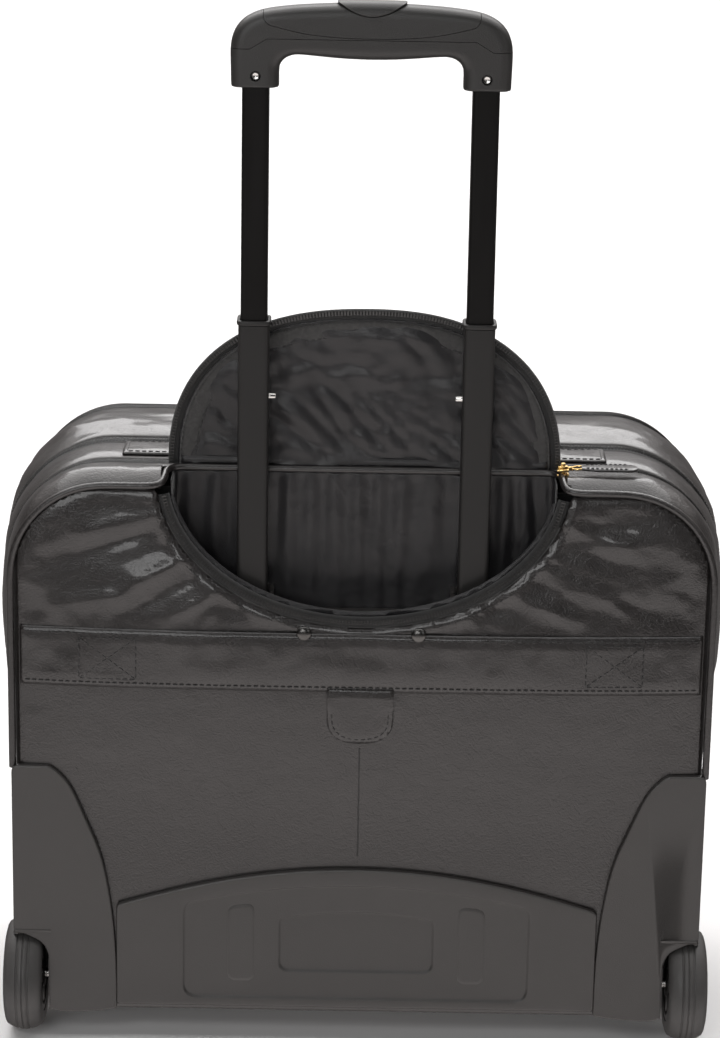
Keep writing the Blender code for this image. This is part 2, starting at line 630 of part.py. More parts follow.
def pull_handle(case, lower, upper, button, metal, dark_metal, plastic, steel):
    """Fixed, lower and inner tubes with their collars, the grip, its button and the fork that the button pushes."""
    inner_hole = INNER_TUBE - 2 * WALL
    lower_hole = INNER_TUBE + 2 * SLIDING_FIT
    fixed_hole = LOWER_TUBE + 2 * SLIDING_FIT
    fixed = fixed_hole + 2 * WALL
    half = TUBE_SPACING / 2
    lip = fixed + 2 * GAP
    wide = half + lip / 2 + 0.0025
    plate = (-wide, wide), (0.0040, 0.0285), (0.2745, 0.2800)
    bracket = box("tube_bracket", *plate, case, plastic)
    for side, x in (("left", -half), ("right", half)):
        lined = sleeve(f"fixed_tube_{side}", fixed, fixed_hole, x, FIXED_TUBE_BOTTOM_Z, BRACKET_TOP_Z - 0.003, case, metal)
        edge = lip / 2 + 0.0022
        cup = (x - edge, x + edge), (TUBE_DEPTH - edge, TUBE_DEPTH + edge), (0.2750, BRACKET_TOP_Z)
        add(bracket, box("bracket_cup", *cup, case, None))
        bore = lip / 2
        hole = (x - bore, x + bore), (TUBE_DEPTH - bore, TUBE_DEPTH + bore), (0.265, BRACKET_TOP_Z + SKIN)
        cut(bracket, box("bracket_hole", *hole, case, None))
        inward = -1 if x > 0 else 1
        way = sorted((x + inward * LOWER_TUBE / 2, x + inward * (LOWER_TUBE / 2 + LOCK_PIN_OUT + 2 * GAP)))
        slot = LOCK_PIN_RADIUS + 2 * GAP
        run = (LOCK_PIN_Z - LOWER_TRAVEL - LOCK_PIN_OUT, BRACKET_TOP_Z + SKIN)
        for piece in (bracket, lined):
            cut(piece, box("pin_slot", way, (TUBE_DEPTH - slot, TUBE_DEPTH + slot), run, case, None))
        stage = sleeve(f"lower_tube_{side}", LOWER_TUBE, lower_hole, x, LOWER_TUBE_BOTTOM_Z, COLLAR_TOP_Z - 0.003, lower, metal)
        collar = LOWER_TUBE + 2 * GAP
        low = COLLAR_TOP_Z - COLLAR_HEIGHT
        sleeve(f"lower_collar_{side}", COLLAR + 0.0006, collar, x, low, COLLAR_TOP_Z, lower, plastic)
        face = x + inward * lower_hole / 2
        place = point(face + inward * 0.0002, TUBE_DEPTH, LOCK_PIN_Z)
        pin = [(0.0003, 0), (LOCK_PIN_RADIUS, 0), (LOCK_PIN_RADIUS, LOCK_PIN_OUT), (LOCK_PIN_RADIUS * 0.7, LOCK_PIN_OUT + 0.0005)]
        pin.append((0.0003, LOCK_PIN_OUT + 0.0005))
        turned(f"lock_pin_{side}", pin, place, (inward, 0, 0), lower, steel, 12)
        drill = LOCK_PIN_RADIUS + GAP
        hole = sorted((face - inward * 0.001, face + inward * 0.004))
        cut(stage, box("pin_hole", hole, (TUBE_DEPTH - drill, TUBE_DEPTH + drill), (LOCK_PIN_Z - drill, LOCK_PIN_Z + drill), lower, None))
        tube = sleeve(f"inner_tube_{side}", INNER_TUBE, inner_hole, x, INNER_TUBE_BOTTOM_Z, GRIP_BOTTOM_Z + 0.014, upper, dark_metal)
        cut(tube, box("screw_hole", (x - 0.002, x + 0.002), (0.004, 0.011), (SCREW_Z - 0.002, SCREW_Z + 0.002), upper, None))
        head = [(0.0003, 0), (SCREW_RADIUS - GAP, 0), (SCREW_RADIUS - GAP, 0.0012), (0.0014, 0.0014), (0.0014, 0.0040)]
        head.append((0.0003, 0.0040))
        turned(f"grip_screw_{side}", head, point(x, TUBE_DEPTH - GRIP_THICKNESS / 2 + 0.0008, SCREW_Z), (0, 1, 0), upper, steel, 12)
    grip(upper, button, plastic, dark_metal)


def grip(upper, button, plastic, metal):
    """The grip is a shell with two legs, a cover let into its top, a push button and the fork below it."""
    leg = GRIP_HALF - GRIP_LEG
    low = GRIP_BOTTOM_Z
    corner = 0.022
    outside = [(GRIP_HALF, low)]
    for k in range(STEPS + 1):
        angle = math.pi / 2 * k / STEPS
        x = GRIP_HALF - corner * (1 - math.cos(angle))
        outside.append((x, GRIP_TOP_Z - 0.0015 - corner * (1 - math.sin(angle))))
    inside = [(leg, low)]
    bend = 0.009
    for k in range(STEPS // 2 + 1):
        angle = math.pi / 2 * k / (STEPS // 2)
        inside.append((leg - bend * (1 - math.cos(angle)), GRIP_UNDERSIDE_Z - bend * (1 - math.sin(angle))))
    inside.append((0, GRIP_UNDERSIDE_Z - 0.0015))
    outer = outside + [(0, GRIP_TOP_Z)] + mirrored(outside)
    around = outer + [(-x, z) for x, z in inside[:-1]] + list(reversed(inside))
    near = TUBE_DEPTH - GRIP_THICKNESS / 2
    far = TUBE_DEPTH + GRIP_THICKNESS / 2
    shell = slab("grip_shell", around, near, far, upper, plastic)
    soften(shell, 0.0035, 2)
    cut(shell, box("cover_seat", (-COVER_HALF, COVER_HALF), (near - SKIN, far + SKIN), (GRIP_SEAM_Z, GRIP_TOP_Z + 0.01), upper, None))
    room = 0.0055
    span = TUBE_SPACING / 2 + room
    cut(shell, box("fork_room", (-span, span), (TUBE_DEPTH - room, TUBE_DEPTH + room), (0.6265, GRIP_SEAM_Z), upper, None))
    socket = INNER_TUBE / 2 + GAP
    for sign in (-1, 1):
        x = sign * TUBE_SPACING / 2
        deep = (low - SKIN, low + 0.0145)
        cut(shell, box("tube_socket", (x - socket, x + socket), (TUBE_DEPTH - socket, TUBE_DEPTH + socket), deep, upper, None))
        cut(shell, box("rod_way", (x - 0.004, x + 0.004), (TUBE_DEPTH - 0.004, TUBE_DEPTH + 0.004), (low, 0.628), upper, None))
        drill = [point(x + SCREW_RADIUS * math.cos(a), 0, SCREW_Z + SCREW_RADIUS * math.sin(a)) for a in circle(12)]
        cut(shell, loft("screw_way", [drill, [p + Vector((0, TUBE_DEPTH, 0)) for p in drill]], upper, None))
    edge = COVER_HALF - GAP
    crown = [(-edge, GRIP_SEAM_Z + GAP), (edge, GRIP_SEAM_Z + GAP)]
    crown += [(edge, GRIP_TOP_Z - 0.0012), (0, GRIP_TOP_Z), (-edge, GRIP_TOP_Z - 0.0012)]
    cover = slab("grip_cover", crown, near, far, upper, plastic)
    well = [(BUTTON_HALF * math.cos(a), 0.0075 * math.sin(a)) for a in circle(24)]
    opening = [(x * 1.03, TUBE_DEPTH + depth * 1.08) for x, depth in well]
    for piece in (cover, shell):
        cut(piece, plank("button_way", opening, GRIP_SEAM_Z - BUTTON_TRAVEL - GAP, GRIP_TOP_Z + 0.01, upper, None))
    rings = []
    for z, scale in ((GRIP_SEAM_Z + GAP, 0.97), (GRIP_TOP_Z - 0.0002, 0.97), (GRIP_TOP_Z + 0.0012, 0.80), (GRIP_TOP_Z + 0.0018, 0.45)):
        rings.append([point(x * scale, TUBE_DEPTH + depth * scale, z) for x, depth in well])
    loft("release_button", rings, button, plastic)
    reach = TUBE_SPACING / 2 + 0.0025
    bar = box("push_fork", (-reach, reach), (TUBE_DEPTH - 0.0025, TUBE_DEPTH + 0.0025), (0.6323, GRIP_SEAM_Z - GAP), button, metal)
    for sign in (-1, 1):
        x = sign * TUBE_SPACING / 2
        post = (x - 0.0025, x + 0.0025), (TUBE_DEPTH - 0.0025, TUBE_DEPTH + 0.0025), (INNER_TUBE_BOTTOM_Z + 0.010, 0.6350)
        add(bar, box("fork_rod", *post, button, None))


def circle(count):
    return [math.tau * k / count for k in range(count)]


def soften(target, width, segments):
    step = target.modifiers.new("Bevel", "BEVEL")
    step.width = width
    step.segments = segments
    step.limit_method = "ANGLE"
    step.angle_limit = math.radians(50)


def carry(middle, handle, leather):
    """The sewn patch on the middle strip and the carry handle, which lies forward on it."""
    patch_half = 0.150
    near = HANDLE_PIVOT_DEPTH - 0.0145
    far = HANDLE_PIVOT_DEPTH + 0.0145
    low = TOP_Z + GAP
    patch = box("top_patch", (-patch_half, patch_half), (near, far), (low, low + 0.0014), middle, leather)
    for sign in (-1, 1):
        ends = sorted((sign * (HANDLE_HALF + LOOSE), sign * (HANDLE_HALF + 0.009)))
        lug = (HANDLE_PIVOT_DEPTH - HANDLE_ROOT, HANDLE_PIVOT_DEPTH + HANDLE_ROOT)
        add(patch, box("handle_loop", ends, lug, (low + 0.0010, HANDLE_PIVOT_Z + 0.004), middle, None))
    width = 0.014
    outer = rounded_u(HANDLE_HALF, HANDLE_REACH, 0.016)
    inner = rounded_u(HANDLE_HALF - width, HANDLE_REACH - width * 0.8, 0.006)
    around = outer + list(reversed(inner))
    half = HANDLE_THICK / 2
    bar = plank("carry_handle", around, HANDLE_PIVOT_Z - half, HANDLE_PIVOT_Z + half, handle, leather)
    soften(bar, 0.0025, 1)


def rounded_u(half, reach, radius):
    """A flat U that opens to the rear, from its right end to its left end."""
    right = [(half, HANDLE_PIVOT_DEPTH - HANDLE_ROOT)]
    for k in range(STEPS // 2 + 1):
        angle = math.pi / 2 * k / (STEPS // 2)
        across = half - radius * (1 - math.cos(angle))
        right.append((across, HANDLE_PIVOT_DEPTH + reach - radius * (1 - math.sin(angle))))
    return right + [(-x, depth) for x, depth in reversed(right)]


def zip_slider(name, x, depth, body, brass):
    """A zip's slider with its short cast pull, on the straight run over the top."""
    low = TOP_Z + GAP
    side = [(x - 0.006, low), (x + 0.006, low), (x + 0.006, low + 0.0026), (x - 0.004, low + 0.0036), (x - 0.006, low + 0.0026)]
    made = slab(name, side, depth - 0.0036, depth + 0.0036, body, brass)
    pull = (x + 0.003, x + 0.022), (depth - 0.0020, depth + 0.0020), (low + 0.0010, low + 0.0022)
    add(made, box(f"{name}_pull", *pull, body, None))


def build():
    for leftover in list(bpy.data.objects):
        bpy.data.objects.remove(leftover)

    leather = material("leather", (0.045, 0.038, 0.037), 0.38)
    lining = material("satin_lining", (0.016, 0.014, 0.017), 0.45)
    tape = material("zip_tape", (0.012, 0.012, 0.012), 0.75)
    plastic = material("moulded_plastic", (0.042, 0.039, 0.036), 0.48)
    metal = material("tube_satin", (0.030, 0.028, 0.026), 0.35, 0.8)
    dark_metal = material("tube_black", (0.008, 0.007, 0.007), 0.32, 0.6)
    steel = material("bright_steel", (0.62, 0.60, 0.57), 0.25, 1.0)
    brass = material("brass", (0.62, 0.45, 0.20), 0.28, 1.0)
    rubber = material("rubber", (0.020, 0.020, 0.020), 0.65)
    board = material("lined_board", (0.020, 0.019, 0.021), 0.70)

    crease = point(0, CASE_DEPTH, FOLD_Z)
    case = joint("case", (0, 0, 0))
    middle = joint("middle_section", crease, case)
    front = joint("front_section", crease, middle)
    lid = joint("front_lid", crease, front)
    lower = joint("lower_stage", point(0, TUBE_DEPTH, LOWER_TUBE_BOTTOM_Z), case)
    upper = joint("upper_stage", point(0, TUBE_DEPTH, INNER_TUBE_BOTTOM_Z), lower)
    button = joint("button_slide", point(0, TUBE_DEPTH, GRIP_TOP_Z), upper)
    hinge = joint("flap_hinge", point(0, FLAP_HINGE_DEPTH, FLAP_HINGE_Z), case)
    puller = joint("puller_hinge", point(OPENING_HALF + 0.0079, 0.0245, TOP_Z + 0.0044), case)
    handle = joint("handle_hinge", point(0, HANDLE_PIVOT_DEPTH, HANDLE_PIVOT_Z), middle)
    middle_x = WHEEL_INNER_X + WHEEL_WIDTH / 2
    left = joint("left_wheel_axis", point(-middle_x, AXLE_DEPTH, WHEEL_RADIUS), case)
    right = joint("right_wheel_axis", point(middle_x, AXLE_DEPTH, WHEEL_RADIUS), case)

    rear_panel(case, leather)
    end = strips(case, middle, front, lid, leather, tape)
    front_panel(end, lid, leather)
    tray(case, leather)
    boards(case, board)
    bay(case, lining, tape, leather)
    flap(hinge, leather, lining, tape)
    bay_slider(case, puller, brass, leather)
    rear_trim(case, leather, steel)
    base_plate(case, plastic)
    guards(case, plastic)
    wheels(case, left, right, rubber, plastic, steel)
    feet(case, rubber)
    pull_handle(case, lower, upper, button, metal, dark_metal, plastic, steel)
    carry(middle, handle, leather)

    laptop_seam = REAR_STRIP_END + GAP + LAPTOP_TAPE + GAP / 2
    main_seam = laptop_seam + LAPTOP_TAPE + MIDDLE_STRIP + MAIN_TAPE + 3 * GAP
    front_seam = main_seam + MAIN_TAPE + FRONT_STRIP + FRONT_TAPE + 3 * GAP
    sliders = (
        ("laptop_zip_slider", -0.060, laptop_seam, case),
        ("main_zip_slider", 0.088, main_seam, middle),
        ("front_zip_slider", 0.040, front_seam, front),
    )
    for name, x, depth, parent in sliders:
        run = joint(f"{name}_run", point(x, depth, TOP_Z), parent)
        zip_slider(name, x, depth, run, brass)


build()
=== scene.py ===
"""A rolling laptop case in black leather with a two-stage pull handle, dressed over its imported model."""

import math

import bmesh
import bpy
from mathutils import Matrix, Vector, noise
from mathutils.kdtree import KDTree


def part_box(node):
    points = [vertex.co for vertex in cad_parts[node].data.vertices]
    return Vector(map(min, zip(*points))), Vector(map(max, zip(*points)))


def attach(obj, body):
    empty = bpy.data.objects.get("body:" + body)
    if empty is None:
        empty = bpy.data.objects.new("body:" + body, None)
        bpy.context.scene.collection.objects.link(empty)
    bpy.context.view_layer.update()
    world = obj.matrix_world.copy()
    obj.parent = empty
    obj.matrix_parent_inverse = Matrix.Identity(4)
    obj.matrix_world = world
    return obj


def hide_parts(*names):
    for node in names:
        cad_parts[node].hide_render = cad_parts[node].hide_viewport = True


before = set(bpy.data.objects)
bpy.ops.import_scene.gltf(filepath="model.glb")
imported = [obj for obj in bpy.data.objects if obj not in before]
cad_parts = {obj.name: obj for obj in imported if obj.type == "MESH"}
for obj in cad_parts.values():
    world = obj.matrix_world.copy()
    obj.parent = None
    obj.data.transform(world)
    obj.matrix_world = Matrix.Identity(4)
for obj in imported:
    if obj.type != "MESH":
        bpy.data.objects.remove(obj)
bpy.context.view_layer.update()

scene = bpy.context.scene


# ------------------------------------------------------------------ studio
# A pale floor under one broad soft box, a bright panel behind the case, a
# wide window box in front of it and two small boxes at its sides. The world
# is bright low down and behind, and dim in front.

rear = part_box("rear_panel")[0].y

lens = bpy.data.cameras.new("camera")
lens.sensor_width = 36.0
lens.lens = 36.0 * 3200 / 1038
camera = bpy.data.objects.new("camera", lens)
scene.collection.objects.link(camera)
camera.location = (-0.0021, rear - 1.860, 0.897)
tilt = Matrix.Rotation(math.radians(73.5), 3, "X") @ Matrix.Rotation(math.radians(1.0), 3, "Z")
camera.rotation_euler = tilt.to_euler()
scene.camera = camera
scene.view_settings.view_transform = "Standard"

world = bpy.data.worlds.new("studio")
world.use_nodes = True
sky = world.node_tree
sky_place = sky.nodes.new("ShaderNodeTexCoord")
sky_axes = sky.nodes.new("ShaderNodeSeparateXYZ")
sky.nodes["Background"].inputs["Color"].default_value = (1.0, 0.935, 0.915, 1)
sky_mix = sky.nodes.new("ShaderNodeMix")
sky.links.new(sky_place.outputs["Generated"], sky_axes.inputs["Vector"])


def sky_range(axis, low, high, to_low, to_high):
    """A level that changes along one axis of the sky, between two heights on it."""
    level = sky.nodes.new("ShaderNodeMapRange")
    sky.links.new(sky_axes.outputs[axis], level.inputs["Value"])
    for socket, value in (("From Min", low), ("From Max", high), ("To Min", to_low), ("To Max", to_high)):
        level.inputs[socket].default_value = value
    return level.outputs["Result"]


sky.links.new(sky_range("Y", -0.35, 0.35, 0.0, 1.0), sky_mix.inputs["Factor"])
sky.links.new(sky_range("Z", -0.34, -0.24, 1.32, 0.03), sky_mix.inputs["A"])
sky.links.new(sky_range("Z", 0.22, 0.50, 0.16, 0.90), sky_mix.inputs["B"])
sky.links.new(sky_mix.outputs["Result"], sky.nodes["Background"].inputs["Strength"])
scene.world = world


def soft_box(name, place, aim, wide, tall, watts):
    """A rectangular soft light, turned to face a point."""
    light = bpy.data.lights.new(name, "AREA")
    light.shape = "RECTANGLE"
    light.size, light.size_y = wide, tall
    light.energy = watts
    made = bpy.data.objects.new(name, light)
    made.location = place
    made.rotation_euler = (Vector(aim) - Vector(place)).to_track_quat("-Z", "Y").to_euler()
    scene.collection.objects.link(made)
    return made


soft_box("overhead", (0, 3.0, 3.4), (0, 3.0, 0), 6.0, 8.4, 260)
soft_box("back_panel", (0, 5.2, 3.5), (0, 0, 0.35), 5.5, 2.2, 60)
soft_box("window", (-1.2, -4.4, 1.6), (0, 0, 0.3), 3.4, 1.0, 46)
soft_box("shoulder", (-1.1, -2.6, 2.3), (0, 0, 0.3), 1.3, 0.9, 13)
soft_box("side", (1.9, -1.7, 1.3), (0, 0, 0.3), 0.8, 1.0, 4)


def finish(name, colour, roughness, metallic=0.0, **sockets):
    """A material with its plain values, before its grain is added."""
    made = bpy.data.materials.new(name)
    made.use_nodes = True
    shader = made.node_tree.nodes["Principled BSDF"]
    shader.inputs["Base Color"].default_value = (*colour, 1)
    shader.inputs["Roughness"].default_value = roughness
    shader.inputs["Metallic"].default_value = metallic
    for socket, value in sockets.items():
        shader.inputs[socket.replace("_", " ")].default_value = value
    return made


def step(look, kind, inputs, **settings):
    """One node of a material, with its settings and its inputs, each a value or another node's output."""
    node = look.node_tree.nodes.new(kind)
    for key, value in settings.items():
        setattr(node, key, value)
    for key, value in inputs.items():
        if isinstance(value, bpy.types.NodeSocket):
            look.node_tree.links.new(value, node.inputs[key])
        else:
            node.inputs[key].default_value = value
    return node


def give(look, socket, output):
    """Feeds a socket of a material's shader."""
    look.node_tree.links.new(output, look.node_tree.nodes["Principled BSDF"].inputs[socket])


def places(look, stretch=(1, 1, 1)):
    """The piece's own coordinates, in metres, stretched along the grain."""
    own = step(look, "ShaderNodeTexCoord", {})
    return step(look, "ShaderNodeMapping", {"Vector": own.outputs["Object"], "Scale": stretch}).outputs["Vector"]


def two_tone(look, amount, dark, light):
    """Colour that drifts between two tones, as the amount does from 0 to 1."""
    mix = step(look, "ShaderNodeMix", {"Factor": amount, "A": (*dark, 1), "B": (*light, 1)}, data_type="RGBA")
    give(look, "Base Color", mix.outputs[2])


def between(look, amount, low, high):
    """The amount, from 0 to 1, carried to another range."""
    return step(look, "ShaderNodeMapRange", {"Value": amount, "To Min": low, "To Max": high}).outputs["Result"]


def speckle(look, where, scale, detail=2.0, distortion=0.0):
    """Soft noise, from 0 to 1."""
    noise_at = {"Vector": where, "Scale": scale, "Detail": detail, "Distortion": distortion}
    return step(look, "ShaderNodeTexNoise", noise_at).outputs[0]


def relief(look, *layers):
    """Fine relief from layers of (height, depth in metres), one on top of the other."""
    normal = None
    for height, depth in layers:
        inputs = {"Height": height, "Distance": depth, "Strength": 1.0}
        if normal:
            inputs["Normal"] = normal
        normal = step(look, "ShaderNodeBump", inputs).outputs["Normal"]
    give(look, "Normal", normal)


floor_paint = finish("floor_paint", (0.86, 0.86, 0.86), 0.8)
two_tone(floor_paint, speckle(floor_paint, places(floor_paint), 3.0), (0.85, 0.85, 0.85), (0.88, 0.88, 0.88))
ground = bmesh.new()
bmesh.ops.create_grid(ground, x_segments=1, y_segments=1, size=14)
floor_mesh = bpy.data.meshes.new("floor")
ground.to_mesh(floor_mesh)
ground.free()
floor_mesh.materials.append(floor_paint)
floor = bpy.data.objects.new("floor", floor_mesh)
scene.collection.objects.link(floor)
floor.visible_glossy = False


# -------------------------------------------------------------- rear panel
# Black cow leather over thin foam, cut round the bay's opening and turned in
# there. It puffs out over the middle and creases towards the opening.

leather = finish(
    "leather", (0.014, 0.012, 0.0115), 0.30, Specular_IOR_Level=0.5, Coat_Weight=0.5, Coat_Roughness=0.10
)
hide = places(leather)
tone = speckle(leather, hide, 14.0, 4.0)
two_tone(leather, tone, (0.011, 0.0092, 0.0088), (0.021, 0.0178, 0.0170))
pebble = step(leather, "ShaderNodeTexVoronoi", {"Vector": hide, "Scale": 820.0, "Randomness": 1.0})
pores = speckle(leather, hide, 2100.0, 2.0)
veins = speckle(leather, hide, 105.0, 5.0, 0.9)
vein_line = step(leather, "ShaderNodeMath", {0: veins, 1: 0.5}, operation="SUBTRACT").outputs[0]
vein_line = step(leather, "ShaderNodeMath", {0: vein_line}, operation="ABSOLUTE").outputs[0]
vein_line = step(leather, "ShaderNodeMapRange", {"Value": vein_line, "From Max": 0.045}).outputs["Result"]
give(leather, "Roughness", between(leather, speckle(leather, hide, 38.0, 4.0), 0.26, 0.44))
relief(leather, (vein_line, 0.00010), (pebble.outputs["Distance"], 0.00016), (pores, 0.00004))


def smooth(t):
    """A soft step from 0 to 1."""
    t = max(0.0, min(1.0, t))
    return t * t * (3 - 2 * t)


def crumple(place, scale, seed=0.0):
    """Soft wrinkles between -1 and 1."""
    return noise.fractal(place * scale + Vector((seed, seed * 1.7, -seed)), 0.9, 2.1, 4)


def at(x, depth, z):
    """A place given by its side, its depth forward from the rear panel and its height."""
    return Vector((x, rear + depth, z))


def piece(name, work, look, body, stands_for=(), wall=0.0, crease=38, flats=False):
    """A finished piece: its mesh, its material and the body that it moves with."""
    for face in work.faces:
        face.smooth = True
    for edge in work.edges:
        edge.smooth = edge.calc_face_angle(0.0) < math.radians(crease)
    mesh = bpy.data.meshes.new(name)
    work.to_mesh(mesh)
    work.free()
    mesh.materials.append(look)
    made = bpy.data.objects.new(name, mesh)
    scene.collection.objects.link(made)
    if wall:
        shell = made.modifiers.new("wall", "SOLIDIFY")
        shell.thickness = wall
        shell.offset = -1
    if flats:
        even_normals = made.modifiers.new("flats", "WEIGHTED_NORMAL")
        even_normals.weight, even_normals.keep_sharp = 100, True
    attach(made, body)
    if stands_for:
        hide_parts(*stands_for)
    return made


def score(work, place, along):
    """Cuts a line across every face that a plane passes through."""
    everything = work.verts[:] + work.edges[:] + work.faces[:]
    bmesh.ops.bisect_plane(work, geom=everything, plane_co=place, plane_no=along, dist=1e-7)


def cut_sheet(outline, cell):
    """A flat sheet cut to an outline of (x, z) points and scored into small cells, ready to be shaped."""
    work = bmesh.new()
    work.faces.new([work.verts.new((x, 0, z)) for x, z in outline])
    for axis in (0, 2):
        low = min(vert.co[axis] for vert in work.verts)
        high = max(vert.co[axis] for vert in work.verts)
        count = int((high - low) / cell)
        for k in range(1, count):
            across, along = Vector(), Vector()
            across[axis] = low + (high - low) * k / count
            along[axis] = 1
            score(work, across, along)
    return work


def edge_finder(line, closed=True):
    """Gives how far an (x, z) place is from a line of points."""
    ends = list(zip(line, line[1:] + line[:1] if closed else line[1:]))
    spots = []
    for (x0, z0), (x1, z1) in ends:
        count = max(1, int(math.hypot(x1 - x0, z1 - z0) / 0.001))
        spots += [(x0 + (x1 - x0) * k / count, 0, z0 + (z1 - z0) * k / count) for k in range(count + 1)]
    tree = KDTree(len(spots))
    for k, spot in enumerate(spots):
        tree.insert(spot, k)
    tree.balance()
    return lambda x, z: tree.find((x, 0, z))[2]


def face_out(work, inside):
    """Turns a sheet's faces away from a place inside the case."""
    work.normal_update()
    if sum((face.calc_center_median() - inside).dot(face.normal) * face.calc_area() for face in work.faces) < 0:
        bmesh.ops.reverse_faces(work, faces=work.faces)


half_wide = 0.2125
case_depth = 0.190
top_z = 0.369
fold_z = 0.175
well_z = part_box("wheel_guard_left")[1].z - 0.101


def half_width(depth, z):
    """Half the width of the soft sides, which bulge between the guards and the top corners."""
    rise = max(0.0, min(1.0, (z - 0.189) / (top_z - 0.189)))
    along = math.sin(0.9 * math.pi * max(0.0, depth) / case_depth)
    return half_wide + 0.0165 * along * math.sin(math.pi * rise**0.8)


def rim(depth, end_z, out=0.0, count=36):
    """The case's arched outline at a depth, from its right foot over the top to its left foot."""
    top = top_z - 0.007 * (1 - min(1.0, max(0.0, depth) / 0.020)) ** 2 - 0.055
    right = []
    for k in range(count):
        z = end_z + (top - end_z) * k / count
        right.append((half_width(depth, z) + out, z))
    for k in range(count // 2 + 1):
        turn = math.pi / 2 * k / (count // 2)
        z = top + 0.055 * math.sin(turn)
        x = half_width(depth, z) - 0.055 * (1 - math.cos(turn))
        right.append((x + out * math.cos(turn), z + out * math.sin(turn)))
    flat = right[-1][0]
    right += [(flat * (1 - k / count), right[-1][1]) for k in range(1, count)]
    return right + [(0.0, right[-1][1])] + [(-x, z) for x, z in reversed(right)]


def arc(half, rise, power=2.0, count=72):
    """Half an ellipse, or a fuller arch for a power above two, from right to left."""
    line = []
    for k in range(count + 1):
        turn = math.pi * k / count
        across = math.copysign(abs(math.cos(turn)) ** (2 / power), math.cos(turn))
        line.append((half * across, rise * abs(math.sin(turn)) ** (2 / power)))
    return line


arch_z = 0.371
zip_wide = 0.0048
mouth = [(x, arch_z + z) for x, z in arc(0.121 + zip_wide, -(0.088 + zip_wide)) if arch_z + z < top_z - 0.0072]
from_mouth = edge_finder(mouth, closed=False)


def swell(x, z):
    """How far the padded rear panel stands out at a place."""
    side = max(0.0, 1 - (abs(x) / half_wide) ** 4)
    rise = smooth((z - 0.130) / 0.110) * (1 - smooth((z - 0.268) / 0.092))
    return 0.0066 * side * rise


def folds(x, z):
    """Long folds that run from the opening's corners out to the sides and down."""
    height = 0.0
    for x0, z0, x1, z1, wide, tall in (
        (0.122, 0.345, 0.190, 0.322, 0.0065, 0.0016),
        (0.112, 0.318, 0.176, 0.286, 0.0075, 0.0018),
        (0.093, 0.300, 0.140, 0.281, 0.0055, 0.0013),
        (0.134, 0.330, 0.203, 0.340, 0.0060, 0.0010),
        (0.158, 0.298, 0.200, 0.279, 0.0060, -0.0010),
        (0.060, 0.284, 0.100, 0.279, 0.0040, 0.0008),
        (-0.122, 0.348, -0.186, 0.330, 0.0060, 0.0015),
        (-0.110, 0.320, -0.168, 0.279, 0.0080, 0.0020),
        (-0.128, 0.336, -0.201, 0.314, 0.0055, -0.0012),
        (-0.090, 0.298, -0.126, 0.279, 0.0050, 0.0014),
        (-0.150, 0.296, -0.198, 0.288, 0.0065, 0.0012),
        (-0.050, 0.283, -0.085, 0.279, 0.0040, 0.0008),
    ):
        run = Vector((x1 - x0, z1 - z0))
        t = max(0.0, min(1.0, Vector((x - x0, z - z0)).dot(run) / run.length_squared))
        gap = math.hypot(x - x0 - run.x * t, z - z0 - run.y * t)
        across = math.exp(-((gap / (wide * (0.6 + 0.7 * t))) ** 2))
        height += tall * across * math.sin(math.pi * min(1.0, 0.25 + 0.75 * t))
    return height


foot_x = 0.1887
cut = rim(0, well_z)
half = len(cut) // 2
corner_x = mouth[0][0]
panel_line = [(foot_x, 0.020), (foot_x, well_z)] + [p for p in cut[:half] if p[0] > corner_x]
panel_line += mouth
panel_line += [p for p in cut[half:] if p[0] < -corner_x] + [(-foot_x, well_z), (-foot_x, 0.020)]
from_edge = edge_finder([p for p in cut if abs(p[0]) > corner_x - 0.02], closed=False)

panel = cut_sheet(panel_line, 0.0026)
for vert in panel.verts:
    x, z = vert.co.x, vert.co.z
    to_rim, to_mouth = from_edge(x, z), from_mouth(x, z)
    upper = smooth((z - 0.272) / 0.02)
    quiet = smooth(to_rim / 0.012) * smooth((z - 0.13) / 0.05)
    creased = crumple(Vector((x, 0, z)), 26.0) * (0.0004 + 0.0007 * upper)
    fine = crumple(Vector((x, 0, z * 1.8)), 75.0, 3.0) * (0.00008 + 0.00016 * upper)
    ray, spread = math.hypot(x, z - arch_z), math.atan2(z - arch_z, x)
    pulled = noise.fractal(Vector((spread * 7.5, ray * 11, 2.0)), 0.8, 2.0, 3)
    pulled -= 0.9 * abs(noise.noise(Vector((spread * 13 + 4, ray * 16, 7.0))))
    creased += 0.0013 * pulled * upper * smooth((0.215 - ray) / 0.08)
    turned_edge = 0.0013 * math.exp(-(((to_mouth - 0.0038) / 0.0030) ** 2))
    turned_edge -= 0.0007 * math.exp(-((to_mouth / 0.0016) ** 2))
    groove = 0.0016 * (1 - smooth(to_rim / 0.0055))
    raised = swell(x, z) + (folds(x, z) * upper + creased + fine) * quiet + turned_edge - groove
    vert.co = at(x, 0.0002 - raised, z)
face_out(panel, at(0, 0.1, 0.2))
piece("rear_panel_leather", panel, leather, "case", ["rear_panel"], wall=0.0020)


# ----------------------------------------------------- strips of the top and sides
# Three leather gussets run up one side, over the top and down the other. They
# are sewn flat at their edges and puff out a little between the seams.

def woven(across, along, place):
    """A grid of cells whose corners go where place(u, v) says, with u and v from 0 to 1."""
    work = bmesh.new()
    bmesh.ops.create_grid(work, x_segments=across, y_segments=along, size=1)
    for vert in work.verts:
        vert.co = place((vert.co.x + 1) / 2, (vert.co.y + 1) / 2)
    return work


